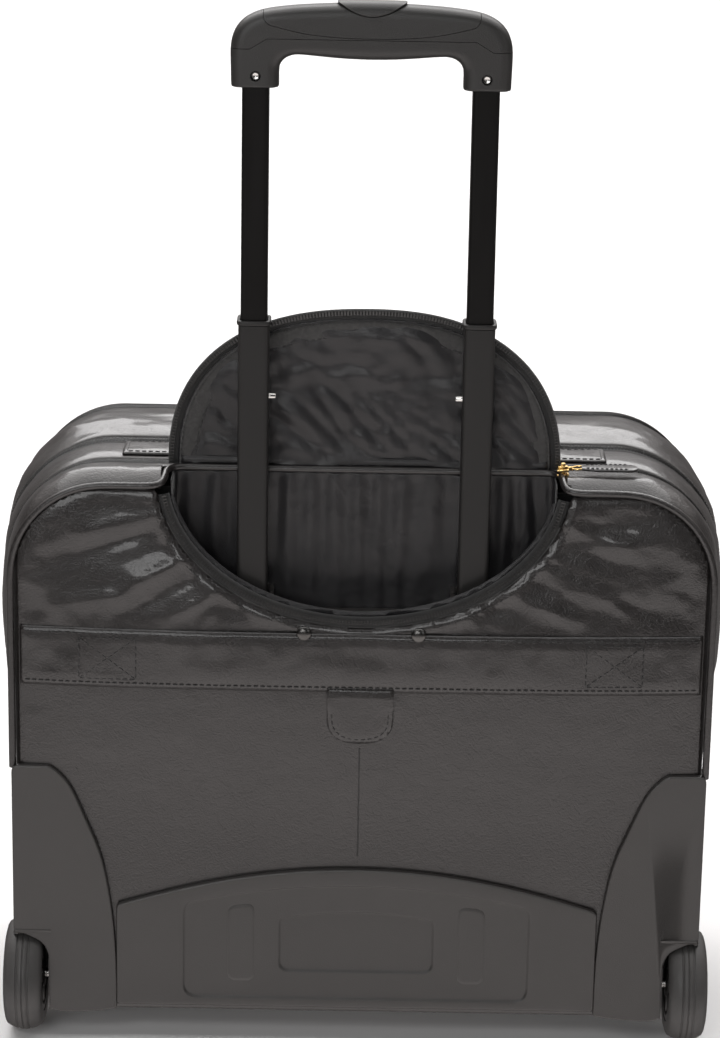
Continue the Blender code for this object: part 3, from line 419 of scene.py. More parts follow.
def stations(line):
    """Gives the point and the outward direction a share of the way along a line of (x, z) points."""
    reach = [0.0]
    for (x0, z0), (x1, z1) in zip(line, line[1:]):
        reach.append(reach[-1] + math.hypot(x1 - x0, z1 - z0))

    def station(share):
        goal = share * reach[-1]
        k = 0
        while k < len(reach) - 2 and reach[k + 1] < goal:
            k += 1
        span = max(1e-9, reach[k + 1] - reach[k])
        t = (goal - reach[k]) / span
        (x0, z0), (x1, z1) = line[k], line[k + 1]
        along = Vector((x1 - x0, z1 - z0)).normalized()
        return x0 + (x1 - x0) * t, z0 + (z1 - z0) * t, Vector((along.y, -along.x))

    return station, reach[-1]


def strip(depth_from, depth_to, end_z, rise):
    """A band over the top between two depths, raised by rise(share, v, place) from the case's outline."""
    rows = max(2, int((depth_to - depth_from) / 0.0026))
    lines = [stations(rim(depth_from + (depth_to - depth_from) * k / rows, end_z))[0] for k in range(rows + 1)]
    length = stations(rim(depth_from, end_z))[1]

    def place(u, v):
        depth = depth_from + (depth_to - depth_from) * v
        x, z, out = lines[round(v * rows)](u)
        lift = rise(u, v, Vector((x, depth, z)))
        return at(x + out.x * lift, depth, z + out.y * lift)

    work = woven(int(length / 0.0034), rows, place)
    face_out(work, at(0, (depth_from + depth_to) / 2, 0.2))
    return work


def soft_strip(puff, wrinkle, seed):
    """The rise of a leather strip: a pillow between its seams, wrinkled, and quieter near the ends."""

    def rise(u, v, place):
        pillow = math.sin(math.pi * v) ** 0.7 if 0 < v < 1 else 0.0
        ends = smooth(min(u, 1 - u) / 0.06)
        rough = crumple(Vector((place.x, place.y * 1.6, place.z)), 24.0, seed)
        rough += 0.45 * crumple(Vector((place.x, place.y, place.z)), 62.0, seed + 4)
        return -0.0007 * (1 - pillow) + (puff * (0.35 + 0.65 * ends) + wrinkle * rough) * pillow

    return rise


def tongues(work, depth_from, depth_to):
    """Adds the two leather tongues that stay inside the tray as the section tips forward."""
    for sign in (-1, 1):
        x = sign * (half_wide - 0.0044)
        flap_depths = (depth_from + 0.008, depth_to - 0.001)
        made = bmesh.ops.create_grid(work, x_segments=6, y_segments=8, size=0.5)["verts"]
        for vert in made:
            share, up = vert.co.x + 0.5, vert.co.y + 0.5
            depth = flap_depths[0] + (flap_depths[1] - flap_depths[0]) * share
            vert.co = at(x + sign * 0.0012 * up**6, depth, fold_z - 0.0335 + 0.0375 * up)
        faces = {face for vert in made for face in vert.link_faces}
        if sum(face.normal.x for face in faces if face.normal.length) * sign < 0:
            bmesh.ops.reverse_faces(work, faces=list(faces))


mouth_half = 0.1233
mouth_end = 0.0305
flap_rest_z = 0.3688
middle_near, middle_far = 0.0469, 0.0849
gussets = (
    ("rear_gusset", "case", 0.0028, 0.0380, well_z + 0.0003, 0.0022, 0.0010, 1.0),
    ("middle_gusset", "middle_section", middle_near, middle_far, fold_z + 0.0006, 0.0012, 0.0006, 7.0),
    ("front_gusset", "front_section", 0.0994, 0.1719, fold_z + 0.0006, 0.0030, 0.0014, 12.0),
)
for name, body, depth_from, depth_to, end_z, puff, wrinkle, seed in gussets:
    work = strip(depth_from, depth_to, end_z, soft_strip(puff, wrinkle, seed))
    if body == "case":
        score(work, (mouth_half, 0, 0), (1, 0, 0))
        score(work, (-mouth_half, 0, 0), (1, 0, 0))
        score(work, at(0, mouth_end, 0), (0, 1, 0))
        doomed = []
        for face in work.faces:
            middle = face.calc_center_median()
            if abs(middle.x) < mouth_half and middle.y < rear + mouth_end and middle.z > 0.3:
                doomed.append(face)
        bmesh.ops.delete(work, geom=doomed, context="FACES")
        for vert in work.verts:
            if vert.co.z > flap_rest_z:
                aside, depth = abs(vert.co.x), vert.co.y - rear
                beside_flap = smooth((0.137 - aside) / 0.006) * smooth((depth - 0.0255) / 0.003)
                under_pull = smooth((depth - 0.0150) / 0.004) * (vert.co.x > 0)
                under_pull *= smooth((0.172 - vert.co.x) / 0.006)
                vert.co.z += (flap_rest_z - vert.co.z) * max(beside_flap, 0.8 * under_pull)
    else:
        tongues(work, depth_from, depth_to)
    piece(name + "_leather", work, leather, body, [name], wall=0.0016)


# --------------------------------------------------------------- top zips
# Three long nylon coil zips over the top and down the sides. Each half is a
# woven tape with its own row of teeth, sewn to the gusset beside it.

tape = finish("zip_tape", (0.010, 0.010, 0.010), 0.78, Sheen_Weight=0.25, Sheen_Roughness=0.5)
tape_place = places(tape)
twill = step(
    tape, "ShaderNodeTexWave", {"Vector": tape_place, "Scale": 620.0, "Distortion": 0.6}, bands_direction="DIAGONAL"
)
two_tone(tape, twill.outputs["Fac"], (0.007, 0.007, 0.007), (0.017, 0.0165, 0.016))
give(tape, "Roughness", between(tape, speckle(tape, tape_place, 240.0), 0.66, 0.88))
relief(tape, (twill.outputs["Fac"], 0.00012), (speckle(tape, tape_place, 2400.0), 0.00006))

coil = finish("nylon_coil", (0.030, 0.029, 0.028), 0.24, Specular_IOR_Level=0.8)
coil_place = places(coil)
two_tone(coil, speckle(coil, coil_place, 160.0, 3.0), (0.020, 0.0195, 0.019), (0.050, 0.048, 0.046))
give(coil, "Roughness", between(coil, speckle(coil, coil_place, 500.0), 0.18, 0.32))
relief(coil, (speckle(coil, coil_place, 1800.0), 0.00003))


def tooth(work, place, along, across, up, size):
    """One moulded tooth: a small block with a narrower crown."""
    made = bmesh.ops.create_cube(work, size=1)["verts"]
    turn = Matrix((along * size[0], across * size[1], up * size[2])).transposed()
    for vert in made:
        crown = 0.62 if vert.co.z > 0 else 1.0
        vert.co = place + turn @ Vector((vert.co.x * crown, vert.co.y * crown, vert.co.z))


def tooth_row(name, body, line, depth, reach, side, pitch, height, odd):
    """One half of a coil: teeth along a line of (x, z) points, reaching from the tape to the seam."""
    work = bmesh.new()
    station, length = stations(line)
    count = int(length / pitch)
    for k in range(count):
        x, z, out = station((k + (0.5 if odd else 0.0)) / count)
        up = Vector((out.x, 0, out.y))
        along = Vector((-out.y, 0, out.x))
        spot = at(x, depth, z) + up * height * 0.35 + Vector((0, side * reach * 0.5, 0))
        tooth(work, spot, along, Vector((0, 1, 0)), up, (pitch * 0.62, reach, height))
    return piece(name, work, coil, body)


def flat_tape(drop, seam_side):
    """The rise of a zip's tape, which sits a little below the leather and dips into its seam."""

    def rise(u, v, place):
        toward = v if seam_side > 0 else 1 - v
        return -drop - 0.0004 * (1 - toward) + 0.0003 * noise.noise(place * 60)

    return rise


zips = (
    ("laptop_zip", 0.0383, 0.0423, 0.0426, 0.0466, "case", "middle_section", 0.0017, 0.0014),
    ("main_zip", 0.0852, 0.0920, 0.0923, 0.0991, "middle_section", "front_section", 0.0021, 0.0018),
    ("front_zip", 0.1722, 0.1762, 0.1765, 0.1805, "front_section", "front_lid", 0.0017, 0.0014),
)
for name, rear_from, rear_to, front_from, front_to, rear_body, front_body, pitch, height in zips:
    reach = height * 1.15
    rows = (
        ("rear", rear_body, rear_from, rear_to, 1, False),
        ("front", front_body, front_from, front_to, -1, True),
    )
    for half_name, body, start, end, seam_side, odd in rows:
        work = strip(start, end, fold_z + 0.0006, flat_tape(0.0008, seam_side))
        piece(f"{name}_{half_name}_tape", work, tape, body, [f"{name}_{half_name}"], wall=0.0008)
        seam = end if seam_side > 0 else start
        teeth_depth = seam - seam_side * reach * 0.9
        line = rim(seam, fold_z + 0.0012, out=-0.0008)
        row_name = f"{name}_{half_name}_teeth"
        tooth_row(row_name, body, line, teeth_depth, reach, seam_side, pitch, height, odd)


# -------------------------------------------------------------- front panel
# The padded front: leather over foam, edged like a cushion, with a sewn line
# set in from its rim. It folds down in front when its zip is open.

lid_depth = 0.1808
front_line = rim(lid_depth, fold_z + 0.0003)
front_sheet = cut_sheet(front_line, 0.0036)
from_front_rim = edge_finder(front_line)
from_front_arch = edge_finder(front_line, closed=False)
for vert in front_sheet.verts:
    x, z = vert.co.x, vert.co.z
    to_rim, to_arch = from_front_rim(x, z), from_front_arch(x, z)
    dome = smooth(to_rim / 0.024)
    sewn = 0.0011 * math.exp(-(((to_arch - 0.012) / 0.0016) ** 2))
    rough = crumple(Vector((x, 1, z)), 17.0, 5.0) * 0.0012 + crumple(Vector((x, 1, z)), 52.0, 9.0) * 0.0003
    rounded = 0.0085 * (1 - smooth(to_arch / 0.010)) ** 2
    vert.co = at(x, 0.1902 - rounded + 0.0045 * dome - sewn * (z > fold_z + 0.01) + rough * dome, z)
edge_loop = [edge for edge in front_sheet.edges if edge.is_boundary]
skirt = bmesh.ops.extrude_edge_only(front_sheet, edges=edge_loop)["geom"]
for vert in (part for part in skirt if isinstance(part, bmesh.types.BMVert)):
    vert.co.y = rear + lid_depth
face_out(front_sheet, at(0, lid_depth, 0.27))
front = piece("front_panel_leather", front_sheet, leather, "front_lid", ["front_panel"], wall=0.0016)


# --------------------------------------------------------------- lower tray
# The lower part of the soft body: leather sides and front over a stiff floor,
# with the rear corners cut away over the wheel housings.

tray_floor = 0.020
corner = 0.010
tray_rear = 0.0383
well_depth = 0.0633
right_side = [(half_wide, tray_rear + (0.180 - tray_rear) * k / 40) for k in range(41)]
bend = [math.pi / 2 * k / 8 for k in range(1, 9)]
right_side += [(half_wide - corner * (1 - math.cos(t)), 0.180 + corner * math.sin(t)) for t in bend]
right_side += [((half_wide - corner) * (1 - k / 60), case_depth) for k in range(1, 61)]
tray_line = right_side + [(-x, depth) for x, depth in reversed(right_side[:-1])]
along_tray, tray_length = stations(tray_line)
drop = [(fold_z - 0.0003) - (fold_z - 0.0003 - tray_floor - 0.006) * k / 34 for k in range(35)]
under = [(0.0, z) for z in drop] + [
    (0.006 * (1 - math.cos(t)), tray_floor + 0.006 * (1 - math.sin(t))) for t in bend
]
under += [(0.006 + 0.012 * k / 3, tray_floor) for k in range(1, 4)]


def tray_place(u, v):
    """The tray's wall, from its upper edge down and under the floor's rim."""
    x, depth, out = along_tray(u)
    tucked, z = under[round(v * (len(under) - 1))]
    lift = crumple(
        Vector((x, depth, z)), 21.0, 2.0
    ) * 0.0009 * smooth((fold_z - z) / 0.02) * smooth((z - 0.03) / 0.03)
    lift += 0.0016 * smooth((fold_z - z) / 0.05) * smooth((z - tray_floor) / 0.05) - tucked
    return at(x + out.x * lift, depth + out.y * lift, z)


tray = woven(int(tray_length / 0.0042), len(under) - 1, tray_place)
for place, along in ((at(0, well_depth, 0), (0, 1, 0)), (Vector((0, 0, well_z)), (0, 0, 1))):
    score(tray, place, along)
open_well = [
    f for f in tray.faces if f.calc_center_median().y < rear + well_depth and f.calc_center_median().z < well_z
]
bmesh.ops.delete(tray, geom=open_well, context="FACES")
face_out(tray, at(0, 0.1, 0.1))
well_in = 0.1884
floor_line = [(well_in, 0.0030), (well_in, 0.0636), (half_wide - 0.0165, 0.0636)]
floor_line += [(half_wide - 0.0165, 0.1735), (0.0, 0.1735)]
floor_line += [(-x, depth) for x, depth in reversed(floor_line[:-1])]
base = bmesh.new()
base.faces.new([base.verts.new(at(x, depth, tray_floor + 0.0004)) for x, depth in floor_line])
face_out(base, at(0, 0.1, 0.1))
piece("lower_tray_leather", tray, leather, "case", ["lower_tray"], wall=0.0020)
piece("tray_floor", base, leather, "case", wall=0.0020)


# -------------------------------------------------------------- trolley bay
# The pocket that the pull handle sinks into: satin sewn to the opening's rim
# and gathered in upright pleats, with a woven edge inside the lower lip.

satin = finish(
    "satin_lining", (0.010, 0.0095, 0.0105), 0.34, Sheen_Weight=0.35, Sheen_Roughness=0.35, Anisotropic=0.35
)
satin_place = places(satin)


def plain_weave(look, where, scale, distortion):
    """The over and under of a plain weave, from 0 to 1."""
    bands = []
    for axis in "ZX":
        band = {"Vector": where, "Scale": scale, "Distortion": distortion}
        bands.append(step(look, "ShaderNodeTexWave", band, bands_direction=axis).outputs["Fac"])
    return step(look, "ShaderNodeMath", {0: bands[0], 1: bands[1]}, operation="MULTIPLY").outputs[0]


weave = plain_weave(satin, satin_place, 560.0, 0.25)
two_tone(satin, speckle(satin, satin_place, 30.0, 4.0), (0.0065, 0.006, 0.007), (0.016, 0.015, 0.0165))
give(satin, "Roughness", between(satin, weave, 0.22, 0.34))
relief(satin, (speckle(satin, satin_place, 85.0, 5.0, 0.6), 0.0006), (weave, 0.00007))

bay_half = 0.1175
bay_back = 0.0303
bay_low = 0.2745


def pleats(x, z, depth_of_pleat):
    """Upright gathers that are deepest under the seam and wander as they go down."""
    wander = 0.010 * noise.noise(Vector((x * 9, 0, z * 11)))
    wave = math.sin((x + wander) * 2 * math.pi / 0.0145 + 2.2 * noise.noise(Vector((x * 22, 1, 0))))
    fall = 0.35 + 0.65 * smooth((z - 0.29) / 0.06)
    rough = noise.fractal(Vector((x * 60, 3, z * 26)), 1.0, 2.0, 3)
    return depth_of_pleat * (0.62 * wave * fall + 0.55 * rough)


wall_path = [(bay_half, 0.0040), (bay_half, 0.0240)]
wall_path += [(bay_half - 0.006 * (1 - math.cos(t)), 0.0240 + 0.006 * math.sin(t)) for t in bend]
wall_path += [(bay_half - 0.006 - k * 0.0012, bay_back) for k in range(1, 93)]
wall_path = [(x, depth) for x, depth in wall_path if x > 0] + [(0.0, bay_back)]
wall_path += [(-x, depth) for x, depth in reversed(wall_path[:-1])]
along_wall, wall_length = stations(wall_path)
bay_top = arch_z - 0.0035


def bay_place(u, v):
    """The pocket's wall, from its floor up to the opening."""
    x, depth, out = along_wall(u)
    z = bay_low + (bay_top - bay_low) * v
    quiet = smooth(min(u, 1 - u) / 0.05) * smooth((bay_top - z) / 0.004)
    lift = -0.0009 + pleats(x, z, 0.0011) * quiet
    return at(x + out.x * min(0.0, lift), depth + out.y * min(0.0006, lift), z)


pocket = woven(int(wall_length / 0.0011), 44, bay_place)
face_out(pocket, at(0, 0.2, 0.33))
piece("bay_lining_pleats", pocket, satin, "case", ["bay_lining"], wall=0.0005, crease=80)

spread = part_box("fixed_tube_right")
tube_x = (spread[0].x + spread[1].x) / 2
tube_deep = (spread[0].y + spread[1].y) / 2 - rear
bay_floor = cut_sheet([(bay_half, 0.0040), (bay_half, 0.0298), (-bay_half, 0.0298), (-bay_half, 0.0040)], 0.0060)
hole = 0.0143
for place, along in [((s * (tube_x + e * hole), 0, 0), (1, 0, 0)) for s in (-1, 1) for e in (-1, 1)]:
    score(bay_floor, place, along)
holes = [f for f in bay_floor.faces if abs(abs(f.calc_center_median().x) - tube_x) < hole]
bmesh.ops.delete(bay_floor, geom=holes, context="FACES")
for vert in bay_floor.verts:
    x, depth = vert.co.x, vert.co.z
    vert.co = at(x, depth, bay_low + 0.0005 + 0.0006 * crumple(Vector((x, depth, 0)), 40.0))
face_out(bay_floor, at(0, 0.016, 0.1))
piece("bay_floor_lining", bay_floor, satin, "case", (), wall=0.0005, crease=80)

lip = [(x, arch_z + z) for x, z in arc(0.1165, -0.0835) if arch_z + z < 0.3575]
front_lining = cut_sheet(
    lip + [(-bay_half, 0.3575), (-bay_half, bay_low), (bay_half, bay_low), (bay_half, 0.3575)], 0.0045
)
for vert in front_lining.verts:
    x, z = vert.co.x, vert.co.z
    forward = 0.0042 - 0.85 * max(0.0, swell(x, z)) * smooth((z - 0.275) / 0.01)
    vert.co = at(x, forward + 0.0003 * crumple(vert.co, 60.0), z)
face_out(front_lining, at(0, -0.2, 0.3))
piece("bay_front_lining", front_lining, satin, "case", (), wall=0.0005, crease=80)


# ------------------------------------------------------- the opening's zip
# A coil zip follows the opening's edge, its teeth towards the opening. A
# line of stitches holds down the leather turned in outside it, and a fleecy
# binding lies inside the lower lip.

opening = [(x, arch_z + z) for x, z in arc(0.121, -0.088) if arch_z + z < top_z - 0.0072]


def ribbon(line, profile, place_of):
    """A narrow strip along a line of (x, z) points, its section given as (out, lift) points."""
    station, length = stations(line)

    def place(u, v):
        x, z, out = station(u)
        aside, lift = profile[round(v * (len(profile) - 1))]
        return place_of(x + out.x * aside, z + out.y * aside, lift)

    return woven(int(length / 0.0022), len(profile) - 1, place)


def on_panel(x, z, lift):
    """A place a little above the rear panel's edge."""
    return at(x, 0.0008 - swell(x, z) - lift, z)


tape_section = [(-0.0052, -0.0012), (-0.0040, -0.0002), (-0.0020, 0.0003), (0.0, 0.0002), (0.0022, -0.0010)]
bay_tape = ribbon(opening, tape_section, on_panel)
face_out(bay_tape, at(0, 0.2, 0.3))
piece("bay_zip_tape", bay_tape, tape, "case", ["bay_zip"], wall=0.0007)


def coil_along(name, body, line, place_of, aside, pitch, reach, height):
    """A row of coil teeth along a line, each lying across it."""
    work = bmesh.new()
    station, length = stations(line)
    count = int(length / pitch)
    for k in range(count):
        x, z, out = station((k + 0.5) / count)
        x1, z1, _ = station((k + 0.9) / count)
        spot = place_of(x + out.x * aside, z + out.y * aside, height * 0.45)
        along = (place_of(x1 + out.x * aside, z1 + out.y * aside, height * 0.45) - spot).normalized()
        across = (
            place_of(x + out.x * (aside + 0.001), z + out.y * (aside + 0.001), height * 0.45) - spot
        ).normalized()
        tooth(work, spot, along, across, along.cross(across).normalized(), (pitch * 0.50, reach, height))
    return piece(name, work, coil, body)


coil_along("bay_zip_teeth", "case", opening, on_panel, -0.0010, 0.0019, 0.0028, 0.0020)

fleece = finish("bay_binding", (0.040, 0.038, 0.038), 0.85, Sheen_Weight=0.5)
fleece_place = places(fleece)
nap = speckle(fleece, fleece_place, 420.0, 4.0)
two_tone(fleece, nap, (0.010, 0.0095, 0.0095), (0.075, 0.072, 0.070))
give(fleece, "Roughness", between(fleece, nap, 0.75, 0.95))
relief(fleece, (nap, 0.0005))
inner_lip = [(x, z) for x, z in opening if z < 0.3480]
lip_section = [(-0.0046, 0.0), (-0.0060, -0.0010), (-0.0078, -0.0016), (-0.0098, -0.0024), (-0.0112, -0.0036)]
lip_binding = ribbon(inner_lip, lip_section, on_panel)
face_out(lip_binding, at(0, 0.2, 0.3))
piece("bay_lip_binding", lip_binding, fleece, "case", (), wall=0.0007)

thread = finish("thread", (0.014, 0.013, 0.013), 0.55, Sheen_Weight=0.2)
twist = step(thread, "ShaderNodeTexWave", {"Vector": places(thread), "Scale": 900.0}, bands_direction="DIAGONAL")
two_tone(thread, twist.outputs["Fac"], (0.010, 0.0095, 0.0095), (0.024, 0.022, 0.021))
give(thread, "Roughness", between(thread, twist.outputs["Fac"], 0.45, 0.65))
relief(thread, (twist.outputs["Fac"], 0.00005))


def stitches(name, body, routes, place_of, length=0.0030, gap=0.0011, thick=0.00046):
    """Lock stitches along routes of flat points, each a short rounded bar that dips at its ends."""
    work = bmesh.new()
    for route in routes:
        station, reach = stations(route)
        count = max(1, int(reach / (length + gap)))
        for k in range(count):
            start = place_of(*station((k + 0.14) / count)[:2])
            end = place_of(*station((k + 0.14 + length / (length + gap)) / count)[:2])
            run = end - start
            if run.length < 1e-5:
                continue
            turn = run.to_track_quat("Z", "Y").to_matrix().to_4x4()
            made = bmesh.ops.create_uvsphere(work, u_segments=6, v_segments=4, radius=1)["verts"]
            size = Matrix.Diagonal((thick, thick, run.length * 0.53, 1))
            bmesh.ops.transform(work, matrix=Matrix.Translation((start + end) / 2) @ turn @ size, verts=made)
    return piece(name, work, thread, body, crease=180)


turning = [(x, z) for x, z in arc(0.121 + 0.0094, -(0.088 + 0.0094)) if arch_z + z < 0.3600]
turning = [(x, arch_z + z) for x, z in turning]


def on_turning(x, z):
    return at(x, -0.0004 - swell(x, z) - folds(x, z) * smooth((z - 0.272) / 0.02) - 0.0003, z)


stitches("opening_stitches", "case", [turning], on_turning, 0.0026, 0.0010)


# ------------------------------------------------------------------ piping
# A leather-covered cord, sewn into the seam round the rear panel and turned
# in along the bay's mouth.

bead = 0.0022


def rod_along(route, radius, sides=10, flat=1.0, ends=True):
    """A round rod along a route of places, squashed to an oval if it is flatter than one."""
    frames = []
    last = None
    for k, place in enumerate(route):
        ahead = (route[min(k + 1, len(route) - 1)] - route[max(k - 1, 0)]).normalized()
        out = last - ahead * last.dot(ahead) if last else ahead.cross(Vector((0, 1, 0)))
        last = out.normalized()
        frames.append((place, last, ahead.cross(last)))
    rows = len(route) - 1

    def place(u, v):
        centre, out, up = frames[round(v * rows)]
        turn = math.tau * u
        return centre + out * (math.cos(turn) * radius) + up * (math.sin(turn) * radius * flat)

    work = woven(sides, rows, place)
    bmesh.ops.remove_doubles(work, verts=work.verts, dist=1e-6)
    if ends:
        bmesh.ops.holes_fill(work, edges=[edge for edge in work.edges if edge.is_boundary], sides=0)
    bmesh.ops.recalc_face_normals(work, faces=work.faces)
    return work


def eased(route, spacing=0.0030):
    """The same route with points at even spacing and soft turns."""
    points = [route[0]]
    for near, far in zip(route, route[1:]):
        count = max(1, int((far - near).length / spacing))
        points += [near.lerp(far, k / count) for k in range(1, count + 1)]
    for _ in range(3):
        points = points[:1] + [(a + b * 2 + c) / 4 for a, b, c in zip(points, points[1:], points[2:])] + points[-1:]
    return points


def mirrored(route):
    """A route's mirror image, run back from the middle."""
    return [Vector((-place.x, place.y, place.z)) for place in reversed(route)]


cord_edge = rim(0, 0.1818, bead + 0.0003)
right_cord = [at(x, 0.00015, z) for x, z in cord_edge[: len(cord_edge) // 2] if x > 0.128]
for x, depth, z in (
    (0.1265, 0.0002, 0.3645),
    (0.1228, 0.0008, 0.3648),
    (0.1214, 0.0030, 0.3660),
    (0.1210, 0.0080, 0.3675),
    (0.1210, 0.0180, 0.3690),
    (0.1208, 0.0236, 0.3692),
    (0.1186, 0.0270, 0.3692),
    (0.1140, 0.0279, 0.3692),
):
    right_cord.append(at(x, depth, z))
cord_route = right_cord + mirrored(right_cord)
piece("rear_piping_cord", rod_along(eased(cord_route), bead), leather, "case", ["rear_piping"])


# -------------------------------------------------------------------- flap
# The bay's cover stands up on its seam: leather outside, satin inside, a
# zip tape and coil round the arch and a fleecy binding just inside them.

hinge_z = 0.3703
flap_half = 0.1195
flap_rise = 0.098
flap_power = 2.35
satin_face = 0.0311
leather_face = 0.0339


def flap_lean(x, z):
    """How far the standing flap bows back at a place, as a soft panel does."""
    up = (z - hinge_z) / flap_rise
    return 0.0022 * math.sin(math.pi * min(1.0, up)) * (1 - (x / flap_half) ** 2) + 0.0010 * math.sin(x * 34) * up


def flap_arch(by):
    """The flap's outline from its right foot to its left, moved inwards."""
    return [(x, hinge_z + z) for x, z in arc(flap_half - by, flap_rise - by, flap_power, 96)]


def flap_sheet(by, cell, shape):
    """One face of the flap, shaped by shape(x, z, distance to its edge)."""
    line = flap_arch(by)
    work = cut_sheet(line, cell)
    far = edge_finder(line, closed=False)
    for vert in work.verts:
        x, z = vert.co.x, vert.co.z
        vert.co = at(x, shape(x, z, far(x, z)) + flap_lean(x, z), z)
    return work


def satin_shape(x, z, to_edge):
    """Loose satin, with long wrinkles that die out at its edge."""
    inner = smooth(to_edge / 0.012)
    broad = noise.fractal(Vector((x * 17 + 3, 5, z * 30)), 0.8, 2.1, 3) * 0.0022
    sharp = abs(noise.noise(Vector((x * 34 + 9, 2, z * 58 + x * 40)))) * -0.0030
    fine = noise.fractal(Vector((x * 90, 8, z * 120)), 0.9, 2.2, 3) * 0.0004
    return satin_face - 0.0012 * inner + (broad + sharp + fine) * inner


inner_flap = flap_sheet(0.0052, 0.0016, satin_shape)
face_out(inner_flap, at(0, 0.2, 0.42))
piece("flap_lining_satin", inner_flap, satin, "trolley_flap", ["flap_lining"], crease=80, wall=0.0005)


def hide_shape(x, z, to_edge):
    """Leather that puffs a little inside its edge."""
    inner = smooth(to_edge / 0.010)
    inner *= 0.25 + 0.75 * smooth((z - hinge_z - 0.004) / 0.020)
    return leather_face + 0.0018 * inner + crumple(Vector((x, 4, z)), 24.0, 6.0) * 0.0010 * inner


outer_flap = flap_sheet(0.0046, 0.0028, hide_shape)
face_out(outer_flap, at(0, 0.0, 0.42))
piece("flap_panel_leather", outer_flap, leather, "trolley_flap", ["flap_panel"], wall=0.0014)


def on_flap(x, z, lift):
    """A place a little in front of the flap's satin, on the side that faces the rear."""
    return at(x, satin_face + 0.0002 + flap_lean(x, z) - lift, z)


arch_line = flap_arch(0.0)
flap_section = [
    (-0.0060, -0.0004), (-0.0040, 0.0002), (-0.0018, 0.0004), (0.0, 0.0), (0.0008, -0.0012), (0.0002, -0.0024)
]
flap_tape = ribbon(arch_line, flap_section, on_flap)
face_out(flap_tape, at(0, 0.2, 0.40))
piece("flap_zip_tape", flap_tape, tape, "trolley_flap", ["flap_zip"], wall=0.0006)
coil_along("flap_zip_teeth", "trolley_flap", flap_arch(0.0012), on_flap, 0.0, 0.0019, 0.0028, 0.0020)
binding_section = [(-0.0175, 0.0006), (-0.0150, 0.0012), (-0.0115, 0.0013), (-0.0085, 0.0011), (-0.0062, 0.0004)]
binding = ribbon(arch_line, binding_section, on_flap)
face_out(binding, at(0, 0.2, 0.40))
piece("flap_binding", binding, fleece, "trolley_flap", (), wall=0.0004)
sewn_arch = [flap_arch(0.0072), flap_arch(0.0165)]
stitches("flap_stitches", "trolley_flap", sewn_arch, lambda x, z: on_flap(x, z, 0.0012), 0.0024, 0.0012, 0.00038)
hem = [(k * -0.004 + 0.112, hinge_z + 0.0012) for k in range(57)]
hem_section = [(-0.0030, -0.0004), (0.0, 0.0011), (0.0028, 0.0012), (0.0048, -0.0002)]
hem_strip = ribbon(hem, hem_section, lambda x, z, lift: at(x, satin_face - 0.0006 - lift, z))
face_out(hem_strip, at(0, 0.2, 0.37))
piece("bay_hem", hem_strip, satin, "trolley_flap", (), wall=0.0004)


# ---------------------------------------------------- gold slider and puller
# A die-cast slider in plated brass, parked at the right end of the bay's
# zip, with a wire ring and a folded leather pull sewn along both edges.

brass = finish("brass", (0.72, 0.50, 0.20), 0.24, 1.0)
brass_place = places(brass)
two_tone(brass, speckle(brass, brass_place, 180.0, 4.0), (0.60, 0.40, 0.15), (0.80, 0.58, 0.26))
give(brass, "Roughness", between(brass, speckle(brass, brass_place, 420.0, 4.0), 0.18, 0.34))
relief(brass, (speckle(brass, brass_place, 1500.0, 3.0), 0.00002))


def block(lows, highs, round_by=0.0006, segments=2, work=None):
    """A block between two (x, depth, z) corners with soft edges."""
    work = work or bmesh.new()
    made = bmesh.ops.create_cube(work, size=1)["verts"]
    low, high = at(*lows), at(*highs)
    for vert in made:
        vert.co = Vector([low[i] + (high[i] - low[i]) * (vert.co[i] + 0.5) for i in range(3)])
    edges = list({edge for vert in made for edge in vert.link_edges})
    bmesh.ops.bevel(work, geom=edges, offset=round_by, segments=segments, profile=0.5, affect="EDGES", material=-1)
    return work


gold = block((0.1176, 0.0202, 0.3720), (0.1250, 0.0284, 0.3736), 0.0007)
block((0.1183, 0.0222, 0.3736), (0.1243, 0.0264, 0.3752), 0.0006, work=gold)
block((0.1200, 0.0230, 0.3750), (0.1228, 0.0256, 0.3769), 0.0005, work=gold)
block((0.1176, 0.0202, 0.3694), (0.1250, 0.0284, 0.3706), 0.0004, work=gold)
block((0.1200, 0.0226, 0.3704), (0.1226, 0.0260, 0.3722), 0.0003, work=gold)
block((0.1238, 0.0232, 0.3722), (0.1276, 0.0254, 0.3746), 0.0004, work=gold)
piece("bay_slider_gold", gold, brass, "case", ["bay_slider"])

pull_start, pull_end = 0.1328, 0.1668
pull_depth, pull_z = 0.0243, 0.3738
ring_middle = at(0.1307, pull_depth, pull_z)
ring = [
    ring_middle + Vector((0.0040 * math.cos(t), 0.0036 * math.sin(t), 0.0004 * math.cos(t)))
    for t in [math.tau * k / 28 for k in range(29)]
]
piece("puller_ring", rod_along(ring, 0.00062, 8, ends=False), brass, "zip_puller", ())


def pull_place(u, v):
    """The folded leather: narrow at the ring, wide and rounded at its free end."""
    along = pull_start + (pull_end - pull_start) * u
    wide = 0.0042 + 0.0024 * smooth(u / 0.35)
    if u > 0.86:
        wide *= math.sqrt(max(0.0, 1 - ((u - 0.86) / 0.15) ** 2))
    turn = math.tau * v
    squash = 1 / max(abs(math.cos(turn)), abs(math.sin(turn))) ** 0.62
    return at(along, pull_depth + wide * math.cos(turn) * squash, pull_z + 0.00115 * math.sin(turn) * squash)


